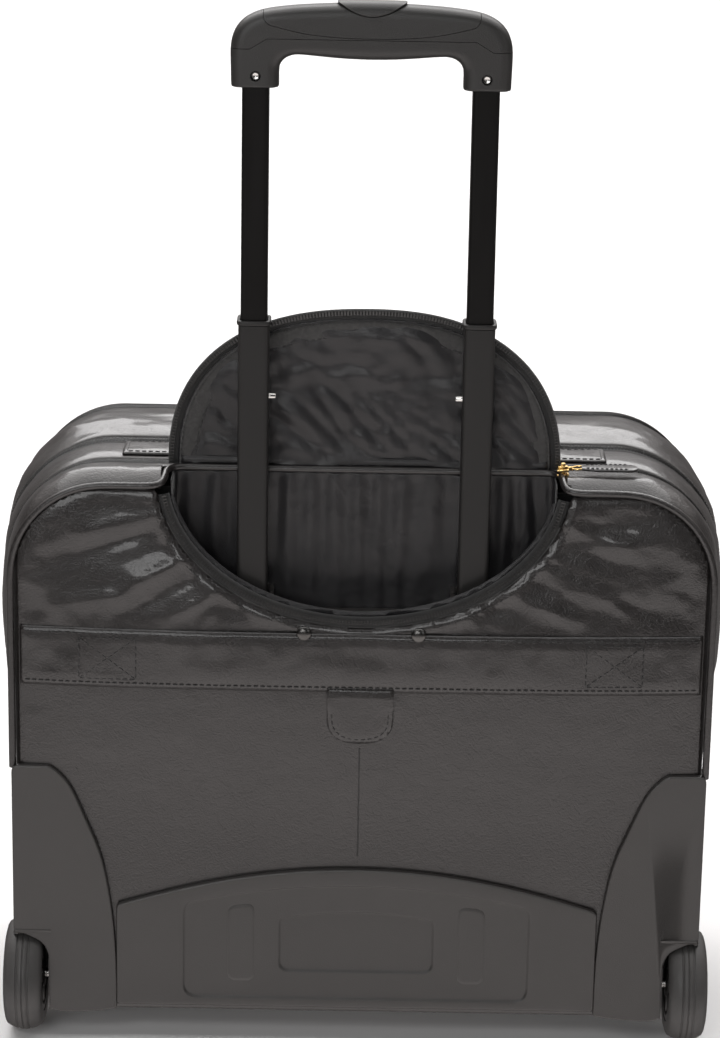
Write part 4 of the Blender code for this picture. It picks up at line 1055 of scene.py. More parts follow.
pull = woven(34, 20, pull_place)
bmesh.ops.remove_doubles(pull, verts=pull.verts, dist=1e-6)
bmesh.ops.holes_fill(pull, edges=[edge for edge in pull.edges if edge.is_boundary], sides=0)
bmesh.ops.recalc_face_normals(pull, faces=pull.faces)
piece("bay_puller_leather", pull, leather, "zip_puller", ["bay_puller"])
pull_routes = []
for sign in (-1, 1):
    pull_routes.append(
        [(0.1350 + 0.026 * k / 8, pull_depth + sign * (0.0036 + 0.0016 * smooth(k / 3))) for k in range(9)]
    )
stitches(
    "puller_stitches", "zip_puller", pull_routes, lambda x, d: at(x, d, pull_z + 0.00125), 0.0020, 0.0008, 0.00034
)


# ---------------------------------------------------------- rear band and tab
# A folded leather band sewn across the panel, so that it slips over another
# case's handle. Boxed crosses hold its ends, and a tongue is sewn below it.

band_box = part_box("rear_band")
band_low, band_high = band_box[0].z, band_box[1].z
band_half = band_box[1].x
cross_in, cross_out = 0.138, 0.173


def band_lift(x, z):
    """The band lies on the panel, fast at its ends and a little slack between the crosses."""
    slack = smooth((0.136 - abs(x)) / 0.05)
    return 0.0016 + 0.0012 * slack * smooth((z - band_low) / 0.012)


def on_band(x, z, lift):
    """A place a little above the band."""
    return at(x, 0.0002 - swell(x, z) - band_lift(x, z) - lift, z)


band_line = [(band_half, band_low), (band_half, band_high), (-band_half, band_high), (-band_half, band_low)]
band = cut_sheet(band_line, 0.0030)
to_band_edge = edge_finder(band_line)
for vert in band.verts:
    x, z = vert.co.x, vert.co.z
    edge = to_band_edge(x, z)
    in_cross = min(abs(abs(x) - cross_in), abs(abs(x) - cross_out))
    drawn = 0.0004 * math.exp(-(((edge - 0.0032) / 0.0010) ** 2)) + 0.0003 * math.exp(-((in_cross / 0.0012) ** 2))
    rough = crumple(Vector((x, 7, z)), 30.0, 2.0) * 0.0005 + crumple(Vector((x, 7, z)), 95.0, 2.0) * 0.00012
    folded = 0.0009 * (1 - smooth(edge / 0.0016))
    vert.co = on_band(x, z, rough * smooth(edge / 0.006) - drawn - folded)
face_out(band, at(0, 0.2, 0.25))
piece("rear_band_leather", band, leather, "case", ["rear_band"], wall=0.0014)

band_rows = [[(0.207 - 0.414 * k / 138, z) for k in range(139)] for z in (band_low + 0.0032, band_high - 0.0032)]
crosses = []
for sign in (-1, 1):
    near, far = sign * cross_in, sign * cross_out
    low, high = band_low + 0.0058, band_high - 0.0058
    crosses += [
        [(near, low), (near, high)], [(far, low), (far, high)], [(near, low), (far, high)],
        [(near, high), (far, low)],
    ]
    crosses += [[(near, low), (far, low)], [(near, high), (far, high)]]
stitches("band_stitches", "case", band_rows + crosses, lambda x, z: on_band(x, z, 0.0001))

tab_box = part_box("band_tab")
tab_half, tab_low = tab_box[1].x, tab_box[0].z
tab_top = band_low + 0.0030
tab_round = tab_half * 0.86
tongue = [(x, tab_low + tab_round + z) for x, z in arc(tab_half, -tab_round, 2.5, 40)]
tongue += [(-tab_half, tab_top), (tab_half, tab_top)]
tab_sheet = cut_sheet(tongue, 0.0022)
to_tab_edge = edge_finder(tongue[:41], closed=False)
for vert in tab_sheet.verts:
    x, z = vert.co.x, vert.co.z
    edge = to_tab_edge(x, z)
    sewn = 0.0003 * math.exp(-(((edge - 0.0030) / 0.0009) ** 2)) + 0.0008 * (1 - smooth(edge / 0.0014))
    tucked = 0.0010 * smooth((z - band_low + 0.001) / 0.003)
    puffed = 0.0007 * smooth(edge / 0.008) + 0.0003 * crumple(Vector((x, 3, z)), 70.0)
    vert.co = at(x, 0.0002 - swell(x, z) - 0.0016 + sewn - puffed + tucked, z)
face_out(tab_sheet, at(0, 0.2, 0.22))
piece("band_tab_leather", tab_sheet, leather, "case", ["band_tab"], wall=0.0013)
tab_row = [(x, tab_low + tab_round + z) for x, z in arc(tab_half - 0.003, -(tab_round - 0.003), 2.5, 40)]
tab_row = [(tab_half - 0.003, band_low - 0.001)] + tab_row + [(-tab_half + 0.003, band_low - 0.001)]
stitches("tab_stitches", "case", [tab_row], lambda x, z: at(x, 0.0002 - swell(x, z) - 0.0018, z))
groove_path = [
    at(0, 0.0004 - swell(0, z), z) for z in [0.126 + 0.0035 * k for k in range(22)] if z < tab_low + 0.004
]
piece("centre_seam", rod_along(groove_path, 0.0006, 6), thread, "case")

steel = finish("bright_steel", (0.70, 0.69, 0.67), 0.20, 1.0)
steel_place = places(steel)
two_tone(steel, speckle(steel, steel_place, 90.0, 3.0), (0.60, 0.59, 0.57), (0.78, 0.77, 0.75))
give(steel, "Roughness", between(steel, speckle(steel, steel_place, 700.0, 3.0), 0.14, 0.30))
relief(steel, (speckle(steel, steel_place, 2400.0), 0.00001))


def turned(profile, centre, axis, steps=32, work=None):
    """A profile of (radius, along) points turned a full circle about an axis through the centre."""
    work = work or bmesh.new()
    along = Vector(axis).normalized()
    side = along.orthogonal().normalized()
    line = [work.verts.new(centre + side * radius + along * reach) for radius, reach in profile]
    edges = [work.edges.new(pair) for pair in zip(line, line[1:])]
    bmesh.ops.spin(
        work, geom=line + edges, cent=centre, axis=along, angle=math.tau, steps=steps,
        use_merge=True, use_duplicate=False,
    )
    bmesh.ops.remove_doubles(work, verts=work.verts, dist=1e-6)
    bmesh.ops.recalc_face_normals(work, faces=work.faces)
    return work


gunmetal = finish("gunmetal", (0.10, 0.098, 0.095), 0.26, 1.0)
gunmetal_place = places(gunmetal)
two_tone(gunmetal, speckle(gunmetal, gunmetal_place, 90.0, 3.0), (0.07, 0.068, 0.066), (0.15, 0.147, 0.142))
give(gunmetal, "Roughness", between(gunmetal, speckle(gunmetal, gunmetal_place, 700.0, 3.0), 0.20, 0.36))
for name in ("snap_left", "snap_right"):
    low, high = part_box(name)
    x, z = (low.x + high.x) / 2, (low.z + high.z) / 2
    centre = at(x, -swell(x, z) - 0.0022, z + 0.0004)
    dome = [(0, 0.0018), (0.0016, 0.00175), (0.0030, 0.0014), (0.0040, 0.0008), (0.0046, 0.0001)]
    dome += [(0.0046, -0.0034), (0, -0.0034)]
    piece(name + "_dome", turned(dome, centre, (0, -1, 0)), gunmetal, "case", [name])


# --------------------------------------------------------------- base plate
# An injection-moulded plate riveted over the rear's lower middle. Its top is
# arched and rolled, with a shallow recess and a deeper one inside it.


def moulded_finish(name, colour, dark, light, shine):
    """Moulded plastic: a fine spark-eroded grain with a little drift in its tone."""
    look = finish(name, colour, 0.42, Specular_IOR_Level=shine)
    where = places(look)
    two_tone(look, speckle(look, where, 11.0, 5.0), dark, light)
    spark = step(look, "ShaderNodeTexVoronoi", {"Vector": where, "Scale": 1500.0, "Randomness": 1.0})
    give(look, "Roughness", between(look, speckle(look, where, 60.0, 4.0), 0.36, 0.50))
    relief(look, (spark.outputs["Distance"], 0.00007), (speckle(look, where, 2600.0, 2.0), 0.00003))
    return look


plastic = moulded_finish(
    "moulded_plastic", (0.034, 0.031, 0.029), (0.029, 0.0263, 0.0248), (0.039, 0.0355, 0.0335), 0.75
)


def rounded(points, radii, count=7):
    """A closed outline whose corners are rounded by the radii given."""
    line = []
    for k, (point, radius) in enumerate(zip(points, radii)):
        here = Vector(point)
        back, ahead = Vector(points[k - 1]) - here, Vector(points[(k + 1) % len(points)]) - here
        near = here + back.normalized() * min(radius, back.length * 0.49)
        far = here + ahead.normalized() * min(radius, ahead.length * 0.49)
        for j in range(count if radius else 1):
            t = j / (count - 1) if radius else 0.5
            line.append(tuple(near.lerp(here, t).lerp(here.lerp(far, t), t)) if radius else tuple(here))
    return line


def even(line, count):
    """A closed outline with its points evenly spaced, from its first point on."""
    station, length = stations(list(line) + [line[0]])
    return [station(k / count)[:2] for k in range(count)]


def inset(line, by):
    """A closed outline moved inwards, measured across its own edges."""
    area = sum(a[0] * b[1] - b[0] * a[1] for a, b in zip(line, line[1:] + line[:1]))
    side = 1 if area > 0 else -1
    moved = []
    for k, (x, z) in enumerate(line):
        (x0, z0), (x1, z1) = line[k - 1], line[(k + 1) % len(line)]
        along = Vector((x1 - x0, z1 - z0))
        along = along.normalized() if along.length > 1e-9 else Vector((1, 0))
        moved.append((x - along.y * by * side, z + along.x * by * side))
    return moved


def skinned(loops, work=None):
    """A skin over loops with the same number of points, a closed one where the last loop is the first."""
    work = work or bmesh.new()
    around, rows = len(loops[0]), len(loops) - 1
    made = bmesh.ops.create_grid(work, x_segments=around, y_segments=rows, size=1)["verts"]
    for vert in made:
        k, j = round((vert.co.x + 1) / 2 * around) % around, round((vert.co.y + 1) / 2 * rows)
        vert.co = loops[j][k]
    bmesh.ops.remove_doubles(work, verts=made, dist=1e-7)
    bmesh.ops.recalc_face_normals(work, faces=work.faces)
    return work


def lofted(loops, work=None):
    """A closed skin over loops, filled at both ends."""
    work = skinned(loops, work)
    bmesh.ops.holes_fill(work, edges=[edge for edge in work.edges if edge.is_boundary], sides=0)
    bmesh.ops.recalc_face_normals(work, faces=work.faces)
    return work


def plate(line, section, work=None, along="depth"):
    """A plate cut to a closed outline, its section given as (place, inset) points from one face to the other."""
    loops = []
    for place, by in section:
        shape = inset(line, by) if by else line
        loops.append([at(x, place, z) if along == "depth" else Vector((place, rear + x, z)) for x, z in shape])
    return lofted(loops, work)


def arched_face(half, low, side, top, radius, flare=0.0, count=26):
    """An outline with a flat foot, upright sides and a top that rises as one shallow arch."""
    line = []
    for k in range(count + 1):
        x = half - 2 * half * k / count
        share = abs(x) / half
        line.append((x, side + (top - side) * (1 - share**2) + flare * (share**8)))
    corners = [(-half, low), (half, low)] + line
    radii = [radius, radius, radius] + [0.0] * (count - 1) + [radius]
    return rounded(corners, radii)


around_plate = 220
plate_line = even(arched_face(0.1510, 0.024, 0.0905, 0.118, 0.0012, 0.0012), around_plate)
recess = even(arched_face(0.1085, 0.0300, 0.0935, 0.1070, 0.0085), around_plate)
window = even(arched_face(0.0485, 0.0480, 0.0838, 0.0890, 0.0065), around_plate)
levels = [
    (plate_line, 0.0, -0.0002), (plate_line, 0.0, -0.0030), (plate_line, 0.0005, -0.0037),
    (plate_line, 0.0013, -0.0040),
]
levels += [
    (recess, -0.0010, -0.0040), (recess, -0.0002, -0.0037), (recess, 0.0003, -0.0028), (recess, 0.0012, -0.0025)
]
levels += [
    (window, -0.0010, -0.0025), (window, 0.0000, -0.0022), (window, 0.0005, -0.0012), (window, 0.0015, -0.0009)
]
base_skin = lofted([[at(x, depth, z) for x, z in (inset(line, by) if by else line)] for line, by, depth in levels])
for sign in (-1, 1):
    corners = [(sign * 0.064, 0.041), (sign * 0.081, 0.041), (sign * 0.081, 0.092), (sign * 0.064, 0.094)]
    ridge = even(rounded(corners, [0.005] * 4), 40)
    plate(ridge, [(-0.0020, 0.0), (-0.0027, 0.0002), (-0.0030, 0.0012), (-0.00315, 0.0026)], base_skin)
piece("base_plate_moulding", base_skin, plastic, "case", ["base_plate"], crease=50, flats=True)


# ------------------------------------------------------------- wheel guards
# Moulded corner guards that wrap the lower corners. Each has a housing cut
# out for its wheel, with a flared lip over it.

axle_depth = 0.016
axle_z = 0.036
guard_half = 0.2156
well_radius = 0.0402


def carved(work, cutters, operation="DIFFERENCE"):
    """A closed solid cut by others, kept only inside them or joined to them."""
    made = []
    for solid in [work] + cutters:
        mesh = bpy.data.meshes.new("solid")
        solid.to_mesh(mesh)
        solid.free()
        made.append(bpy.data.objects.new("solid", mesh))
        scene.collection.objects.link(made[-1])
    for other in made[1:]:
        cutting = made[0].modifiers.new("cut", "BOOLEAN")
        cutting.operation, cutting.object, cutting.solver = operation, other, "EXACT"
    work = bmesh.new()
    work.from_object(made[0], bpy.context.evaluated_depsgraph_get())
    for solid in made:
        mesh = solid.data
        bpy.data.objects.remove(solid)
        bpy.data.meshes.remove(mesh)
    bmesh.ops.remove_doubles(work, verts=work.verts, dist=2e-6)
    return work


def curve_through(points, count=8):
    """A soft line through points."""
    line = []
    padded = [points[0]] + list(points) + [points[-1]]
    for a, b, c, d in zip(padded, padded[1:], padded[2:], padded[3:]):
        for k in range(count):
            t = k / count
            line.append(tuple(
                0.5 * (2 * q + (r - p) * t + (2 * p - 5 * q + 4 * r - s) * t**2 + (3 * q - p - 3 * r + s) * t**3)
                for p, q, r, s in zip(a, b, c, d)
            ))
    return line + [tuple(points[-1])]


inner_edge = curve_through([
    (0.1925, 0.1840), (0.1868, 0.1802), (0.1785, 0.1700), (0.1690, 0.1480), (0.1600, 0.1240), (0.1545, 0.0950),
    (0.1517, 0.0670), (0.1508, 0.0400), (0.1508, 0.0222),
], 6)
cutout = curve_through(
    [(0.1937, 0.0210), (0.1937, 0.0500), (0.1947, 0.0585), (0.1985, 0.0652), (0.2070, 0.0700), (0.2156, 0.0742)], 6
)
foot_edge = curve_through(
    [(0.1512, 0.0210), (0.1620, 0.0190), (0.1800, 0.0178), (0.1890, 0.0184), (0.1937, 0.0206)], 5
)
guard_face = inner_edge + foot_edge + cutout[1:] + [(0.2156, 0.1795)]
guard_face += curve_through([(0.2156, 0.1800), (0.2145, 0.1830), (0.2110, 0.1840)], 3)
guard_section = [(-0.0001, 0.0), (-0.0028, 0.0), (-0.0036, 0.0004), (-0.0040, 0.0012)]
wall_front = curve_through(
    [(0.0380, 0.1800), (0.0520, 0.1720), (0.0590, 0.1500), (0.0620, 0.1150), (0.0630, 0.0840)], 6
)


def round_axle(radius, start, end):
    """Points (depth, z) on an arc about the axle, between two angles in degrees."""
    turns = [math.radians(start + (end - start) * k / 36) for k in range(37)]
    return [(axle_depth + radius * math.cos(t), axle_z + radius * math.sin(t)) for t in turns]


arch_arc = round_axle(well_radius, -27.5, 120.0)
side_face = [(-0.0038, 0.1800)] + wall_front + [(0.0630, 0.0178)] + arch_arc + [(-0.0038, 0.0712)]


def flared_lip(sign):
    """The rounded lip over the wheel, thickest at its top and running out at both ends."""
    loops = []
    for k in range(41):
        turn = math.radians(-20 + 142 * k / 40)
        grow = 0.35 + 0.65 * math.sin(math.pi * (k / 40)) ** 0.5
        loop = []
        for j in range(14):
            round_by = math.tau * j / 14
            thick = 0.0038 * grow
            radius = well_radius + 0.0036 + thick * math.cos(round_by)
            x = guard_half + 0.0005 + 0.0034 * grow * math.sin(round_by)
            loop.append(
                Vector((sign * x, rear + axle_depth + radius * math.cos(turn), axle_z + radius * math.sin(turn)))
            )
        loops.append(loop)
    return lofted(loops)


for side, sign in (("left", -1), ("right", 1)):
    face_line = even([(sign * x, z) for x, z in guard_face], 300)
    parts = [plate(face_line, guard_section)]
    wall = even(side_face, 240)
    order = [(0.2129, 0.0), (0.2144, 0.0), (0.2152, 0.0004), (0.2156, 0.0012)]
    parts.append(plate(wall, [(sign * x, by) for x, by in order], along="side"))
    ring = round_axle(well_radius + 0.0030, -26, 119) + list(reversed(round_axle(well_radius, -27, 119)))
    parts.append(plate(even(ring, 200), [(sign * 0.1920, 0.0), (sign * 0.2150, 0.0)], along="side"))
    inner = rounded([(-0.0036, 0.0190), (0.0626, 0.0190), (0.0626, 0.0825), (-0.0036, 0.0825)], [0.003] * 4)
    parts.append(plate(even(inner, 80), [(sign * 0.1892, 0.0), (sign * 0.1938, 0.0)], along="side"))
    parts.append(flared_lip(sign))
    guard = carved(parts[0], parts[1:], "UNION")
    piece(
        f"wheel_guard_{side}_moulding", guard, plastic, "case", [f"wheel_guard_{side}"], crease=42,
        flats=True,
    )


# ------------------------------------------------------------------- wheels
# Hard plastic hubs with moulded rubber treads, crowned and grooved, turning
# on steel axles pressed into the guards.

rubber = finish("rubber", (0.050, 0.048, 0.047), 0.46, Specular_IOR_Level=0.6)
rubber_place = places(rubber)
two_tone(rubber, speckle(rubber, rubber_place, 45.0, 5.0), (0.036, 0.034, 0.033), (0.066, 0.063, 0.061))
give(rubber, "Roughness", between(rubber, speckle(rubber, rubber_place, 150.0, 5.0), 0.36, 0.66))
relief(
    rubber, (speckle(rubber, rubber_place, 480.0, 4.0), 0.00012), (speckle(rubber, rubber_place, 2200.0), 0.00005)
)

wheel_wide = 0.025
wheel_in = 0.1972
tread = [(0.0243, 0.0008), (0.0285, 0.0003), (0.0312, 0.0010), (0.0326, 0.0018), (0.0334, 0.0032), (0.0342, 0.0046)]
tread += [
    (0.0350, 0.0066), (0.03545, 0.0082), (0.0350, 0.0086), (0.0350, 0.0092), (0.0357, 0.0096), (0.0360, 0.0112)
]
tread += [(0.0360, 0.0120), (0.0355, 0.01235)]
tread += [(radius, wheel_wide - along) for radius, along in reversed(tread)]
for side, sign in (("left", -1), ("right", 1)):
    hub_at = at(sign * wheel_in, axle_depth, axle_z)
    out = Vector((sign, 0, 0))
    piece(
        f"tyre_{side}_tread", turned(tread + [tread[0]], hub_at, out, 72), rubber, f"{side}_wheel",
        [f"tyre_{side}"], crease=50,
    )
    hub = [
        (0.0033, 0.0006), (0.0080, 0.0006), (0.0090, 0.0014), (0.0094, 0.0040), (0.0186, 0.0046), (0.0196, 0.0020),
        (0.0206, 0.0010),
    ]
    hub += [(0.0238, 0.0012), (0.0240, 0.0030)]
    hub += [(radius, wheel_wide - along) for radius, along in reversed(hub)]
    disc = turned(hub + [hub[0]], hub_at, out, 60)
    for k in range(6):
        turn = math.tau * k / 6
        for along in (0.0030, wheel_wide - 0.0030):
            made = bmesh.ops.create_cube(disc, size=1)["verts"]
            spoke = Matrix.Translation(
                hub_at + out * along
            ) @ Matrix.Rotation(turn, 4, "X") @ Matrix.Translation((0, 0, 0.0140))
            bmesh.ops.transform(disc, matrix=spoke @ Matrix.Diagonal((0.0030, 0.0034, 0.0108, 1)), verts=made)
            edges = list({edge for vert in made for edge in vert.link_edges})
            bmesh.ops.bevel(disc, geom=edges, offset=0.0006, segments=2, profile=0.5, affect="EDGES", material=-1)
    piece(f"hub_{side}_disc", disc, plastic, f"{side}_wheel", [f"hub_{side}"], crease=45)
    end = wheel_wide + 0.0003
    pin = [(0, -0.0060), (0.0026, -0.0060), (0.0030, -0.0056), (0.0030, end), (0.0056, end), (0.0057, end + 0.0006)]
    pin += [(0.0046, end + 0.0014), (0.0024, end + 0.0019), (0, end + 0.0020)]
    piece(f"axle_{side}_pin", turned(pin, hub_at, out, 32), steel, "case", [f"axle_{side}"])

for side in ("left", "right"):
    low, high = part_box(f"front_foot_{side}")
    wide, long = (high.x - low.x) / 2, (high.y - low.y) / 2
    middle_x, middle_depth = (low.x + high.x) / 2, (low.y + high.y) / 2 - rear
    sole = even(rounded([(-wide, -long), (wide, -long), (wide, long), (-wide, long)], [0.006] * 4), 72)
    loops = []
    for z, by in (
        (high.z - 0.0002, 0.0), (0.0130, 0.0003), (0.0050, 0.0028), (0.0018, 0.0034), (0.0004, 0.0046),
        (0.0, 0.0062),
    ):
        loops.append([at(middle_x + x, middle_depth + d, z) for x, d in inset(sole, by)])
    piece(f"front_foot_{side}_block", lofted(loops), rubber, "case", [f"front_foot_{side}"])


# ------------------------------------------------------------- pull handle
# Two-stage aluminium tubes with round corners. The fixed tubes stand in a
# moulded bracket on the bay's floor, the lower tubes carry moulded collars
# and sprung pins, and the inner tubes are screwed into the grip.

tube_satin = finish("tube_satin", (0.020, 0.019, 0.018), 0.42, 0.10, Specular_IOR_Level=0.32)
satin_grain = places(tube_satin, (1, 1, 0.04))
brushed = speckle(tube_satin, satin_grain, 900.0, 3.0)
two_tone(tube_satin, speckle(tube_satin, satin_grain, 20.0, 3.0), (0.017, 0.016, 0.0155), (0.025, 0.0238, 0.0230))
give(tube_satin, "Roughness", between(tube_satin, brushed, 0.34, 0.48))
relief(tube_satin, (brushed, 0.00002))

tube_black = finish("tube_black", (0.0050, 0.0045, 0.0042), 0.30, 0.0, Specular_IOR_Level=0.22)
black_grain = places(tube_black, (1, 1, 0.05))
two_tone(
    tube_black, speckle(tube_black, black_grain, 25.0, 3.0), (0.0036, 0.0032, 0.0030), (0.0068, 0.0062, 0.0058)
)
give(tube_black, "Roughness", between(tube_black, speckle(tube_black, black_grain, 500.0, 4.0), 0.24, 0.38))
relief(tube_black, (speckle(tube_black, black_grain, 1100.0, 3.0), 0.00002))


def square(side, radius, count=6):
    """A square's outline with round corners, about its centre."""
    half = side / 2
    return rounded([(half, half), (-half, half), (-half, -half), (half, -half)], [radius] * 4, count)


tube_wall = 0.0009


def square_tube(name, look, body, node, radius, cutters=()):
    """A hollow square tube with round corners in the place of its CAD node."""
    low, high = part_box(node)
    x, y = (low.x + high.x) / 2, (low.y + high.y) / 2
    side = high.x - low.x
    outer, hollow = square(side, radius), square(side - 2 * tube_wall, radius - tube_wall)
    soft = tube_wall * 0.4
    levels = [
        (hollow, low.z, 0), (outer, low.z, soft), (outer, low.z + soft, 0), (outer, high.z - soft, 0),
        (outer, high.z, soft),
    ]
    levels += [(hollow, high.z, 0), (hollow, low.z, 0)]
    loops = [[Vector((x + a, y + b, z)) for a, b in (inset(line, by) if by else line)] for line, z, by in levels]
    work = skinned(loops)
    if cutters:
        work = carved(work, list(cutters))
    return piece(name, work, look, body, [node], crease=50, flats=True)


def way(low, high, room=0.0006):
    """A plain block, a little larger than the box between two corners."""
    work = bmesh.new()
    made = bmesh.ops.create_cube(work, size=1)["verts"]
    middle, size = (low + high) / 2, high - low
    grown = Matrix.Diagonal((size.x + 2 * room, size.y + 2 * room, size.z + 2 * room, 1))
    bmesh.ops.transform(work, matrix=Matrix.Translation(middle) @ grown, verts=made)
    return work


for side in ("left", "right"):
    pin_low, pin_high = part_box(f"lock_pin_{side}")
    slot_way = way(Vector((pin_low.x, pin_low.y, 0.2590)), Vector((pin_high.x, pin_high.y, 0.2940)))
    square_tube(
        f"fixed_tube_{side}_profile", tube_satin, "case", f"fixed_tube_{side}", 0.0035, [slot_way]
    )
    square_tube(f"lower_tube_{side}_profile", tube_satin, "lower_stage", f"lower_tube_{side}", 0.0034)
    square_tube(f"inner_tube_{side}_profile", tube_black, "upper_stage", f"inner_tube_{side}", 0.0028)
    low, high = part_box(f"lower_collar_{side}")
    x, y = (low.x + high.x) / 2, (low.y + high.y) / 2
    top = high.z
    levels = [(0.0164, top - 0.0120), (0.0166, top - 0.0120), (0.0166, top - 0.0027), (0.0198, top - 0.0026)]
    levels += [(0.0204, top - 0.0020), (0.0204, top - 0.0006), (0.0196, top), (0.0170, top)]
    loops = [[Vector((x + a, y + b, z)) for a, b in square(wide, wide * 0.19)] for wide, z in levels]
    loops.append([Vector((x + a, y + b, top - 0.0006)) for a, b in square(0.0164, 0.0030)])
    collar = skinned(loops + loops[:1])
    piece(
        f"lower_collar_{side}_moulding", collar, tube_satin, "lower_stage", [f"lower_collar_{side}"],
        crease=50,
    )
    low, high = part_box(f"lock_pin_{side}")
    inward = 1 if side == "left" else -1
    start = low.x if inward > 0 else high.x
    reach = high.x - low.x
    pin = [(0, 0), (0.0018, 0), (0.0018, reach - 0.0010), (0.0015, reach - 0.0003), (0.0009, reach), (0, reach)]
    pin_at = Vector((start, (low.y + high.y) / 2, (low.z + high.z) / 2))
    piece(
        f"lock_pin_{side}_stub", turned(pin, pin_at, (inward, 0, 0), 20), steel, "lower_stage",
        [f"lock_pin_{side}"],
    )
    low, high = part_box(f"grip_screw_{side}")
    head = [
        (0, 0.0009), (0.0008, 0.0007), (0.0010, 0.0002), (0.0018, 0.0), (0.0026, 0.0005), (0.0028, 0.0012),
        (0.0014, 0.0016),
    ]
    head += [(0.0014, 0.0036), (0, 0.0040)]
    screw_at = Vector(((low.x + high.x) / 2, low.y, (low.z + high.z) / 2))
    piece(
        f"grip_screw_{side}_head", turned(head, screw_at, (0, 1, 0), 24), steel, "upper_stage",
        [f"grip_screw_{side}"],
    )


# --------------------------------------------------------------------- grip
# A moulded grip in three parts: a lower shell with the two legs, shoulders
# and a cover let into the top, where the release button sits in a dish.

grip_plastic = moulded_finish(
    "grip_plastic", (0.020, 0.019, 0.018), (0.016, 0.0152, 0.0144), (0.023, 0.0218, 0.0207), 0.55
)
grip_mid = tube_deep
underside = [
    (0.0541, 0.6062), (0.0541, 0.6110), (0.0541, 0.6152), (0.0535, 0.6190), (0.0514, 0.6222), (0.0483, 0.6242),
    (0.0440, 0.6252), (0.0380, 0.6250), (0.0300, 0.6243), (0.0200, 0.6235), (0.0100, 0.6230), (0.0, 0.6228),
]
crown = [
    (0.0822, 0.6062), (0.0824, 0.6140), (0.0826, 0.6220), (0.0826, 0.6285), (0.0816, 0.6352), (0.0785, 0.6415),
    (0.0726, 0.6468), (0.0630, 0.6507), (0.0470, 0.6531), (0.0290, 0.6544), (0.0140, 0.6550), (0.0, 0.6551),
]


def across_grip(inner, outer, by=0.0, corner=0.0078, half=0.0110):
    """One cross-section of the grip, a rounded block between an underside point and a crown point."""
    inner, outer = Vector(inner), Vector(outer)
    wide = (outer - inner).length / 2
    middle, along = (inner + outer) / 2, (outer - inner).normalized()
    a, b = wide - by, half - by * (1.0 if by > 0 else 0.5)
    loop = rounded([(a, b), (-a, b), (-a, -b), (a, -b)], [corner] * 4, 9)
    return [at(middle.x + along.x * u, grip_mid + v, middle.y + along.y * u) for u, v in loop]


low_line, high_line = curve_through(underside, 5), curve_through(crown, 5)
grip_loops = [
    across_grip(low_line[0], high_line[0], 0.0016, 0.005), across_grip(low_line[0], high_line[0], 0.0004, 0.0062)
]
grip_loops[0] = [point + Vector((0, 0, -0.0001)) for point in grip_loops[0]]
grip_loops[1] = [point + Vector((0, 0, 0.0003)) for point in grip_loops[1]]
for inner, outer in list(zip(low_line, high_line))[1:]:
    grip_loops.append(across_grip(inner, outer))
grip_loops += [[Vector((-p.x, p.y, p.z)) for p in loop] for loop in reversed(grip_loops[:-1])]
proud = [across_grip(inner, outer, -0.0017, 0.0088) for inner, outer in list(zip(low_line, high_line))[30:]]
proud += [[Vector((-p.x, p.y, p.z)) for p in loop] for loop in reversed(proud[:-1])]

seat_half = [(0.0, 0.6640), (0.0635, 0.6640), (0.0635, 0.6520)]
seat_half += curve_through(
    [(0.0634, 0.6478), (0.0618, 0.6446), (0.0577, 0.6424), (0.0374, 0.6380), (0.0160, 0.6361), (0.0, 0.6359)], 6
)
parting_line = [(0.0860, 0.6290), (0.0712, 0.6290), (0.0612, 0.6351), (0.0, 0.6351)]


def prism(half_line, grow=0.0):
    """A block through the whole grip, from the right half of its outline."""
    line = even(half_line + [(-x, z) for x, z in reversed(half_line) if x > 1e-6], 200)
    return plate(inset(line, -grow) if grow else line, [(grip_mid - 0.02, 0.0), (grip_mid + 0.02, 0.0)])


def bowl(centre, size):
    """A ball squashed to a size, to hollow out the button's dish."""
    work = bmesh.new()
    bmesh.ops.create_uvsphere(work, u_segments=48, v_segments=24, radius=1)
    bmesh.ops.transform(work, matrix=Matrix.Translation(centre) @ Matrix.Diagonal((*size, 1)), verts=work.verts)
    return work


def tube_ways():
    """The two square sockets for the tubes, the fork's hollow and the screws' round recesses."""
    fork_low, fork_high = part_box("push_fork")
    ways = [way(Vector((fork_low.x, fork_low.y, 0.6252)), Vector((fork_high.x, fork_high.y, 0.6370)))]
    for sign in (-1, 1):
        x = sign * tube_x
        socket = [(x + a, grip_mid + b) for a, b in square(0.0166, 0.0028)]
        ways.append(lofted([[at(a, b, z) for a, b in socket] for z in (0.600, 0.6205)]))
        ways.append(way(Vector((x - 0.0030, fork_low.y, 0.6195)), Vector((x + 0.0030, fork_high.y, 0.6290))))
        low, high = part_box("grip_screw_right" if sign > 0 else "grip_screw_left")
        hole = [(0, 0), (0.0031, 0), (0.0031, 0.0080), (0, 0.0080)]
        hole_at = at((low.x + high.x) / 2, grip_mid - 0.0125, (low.z + high.z) / 2)
        ways.append(turned(hole, hole_at, (0, 1, 0), 32))
    return ways


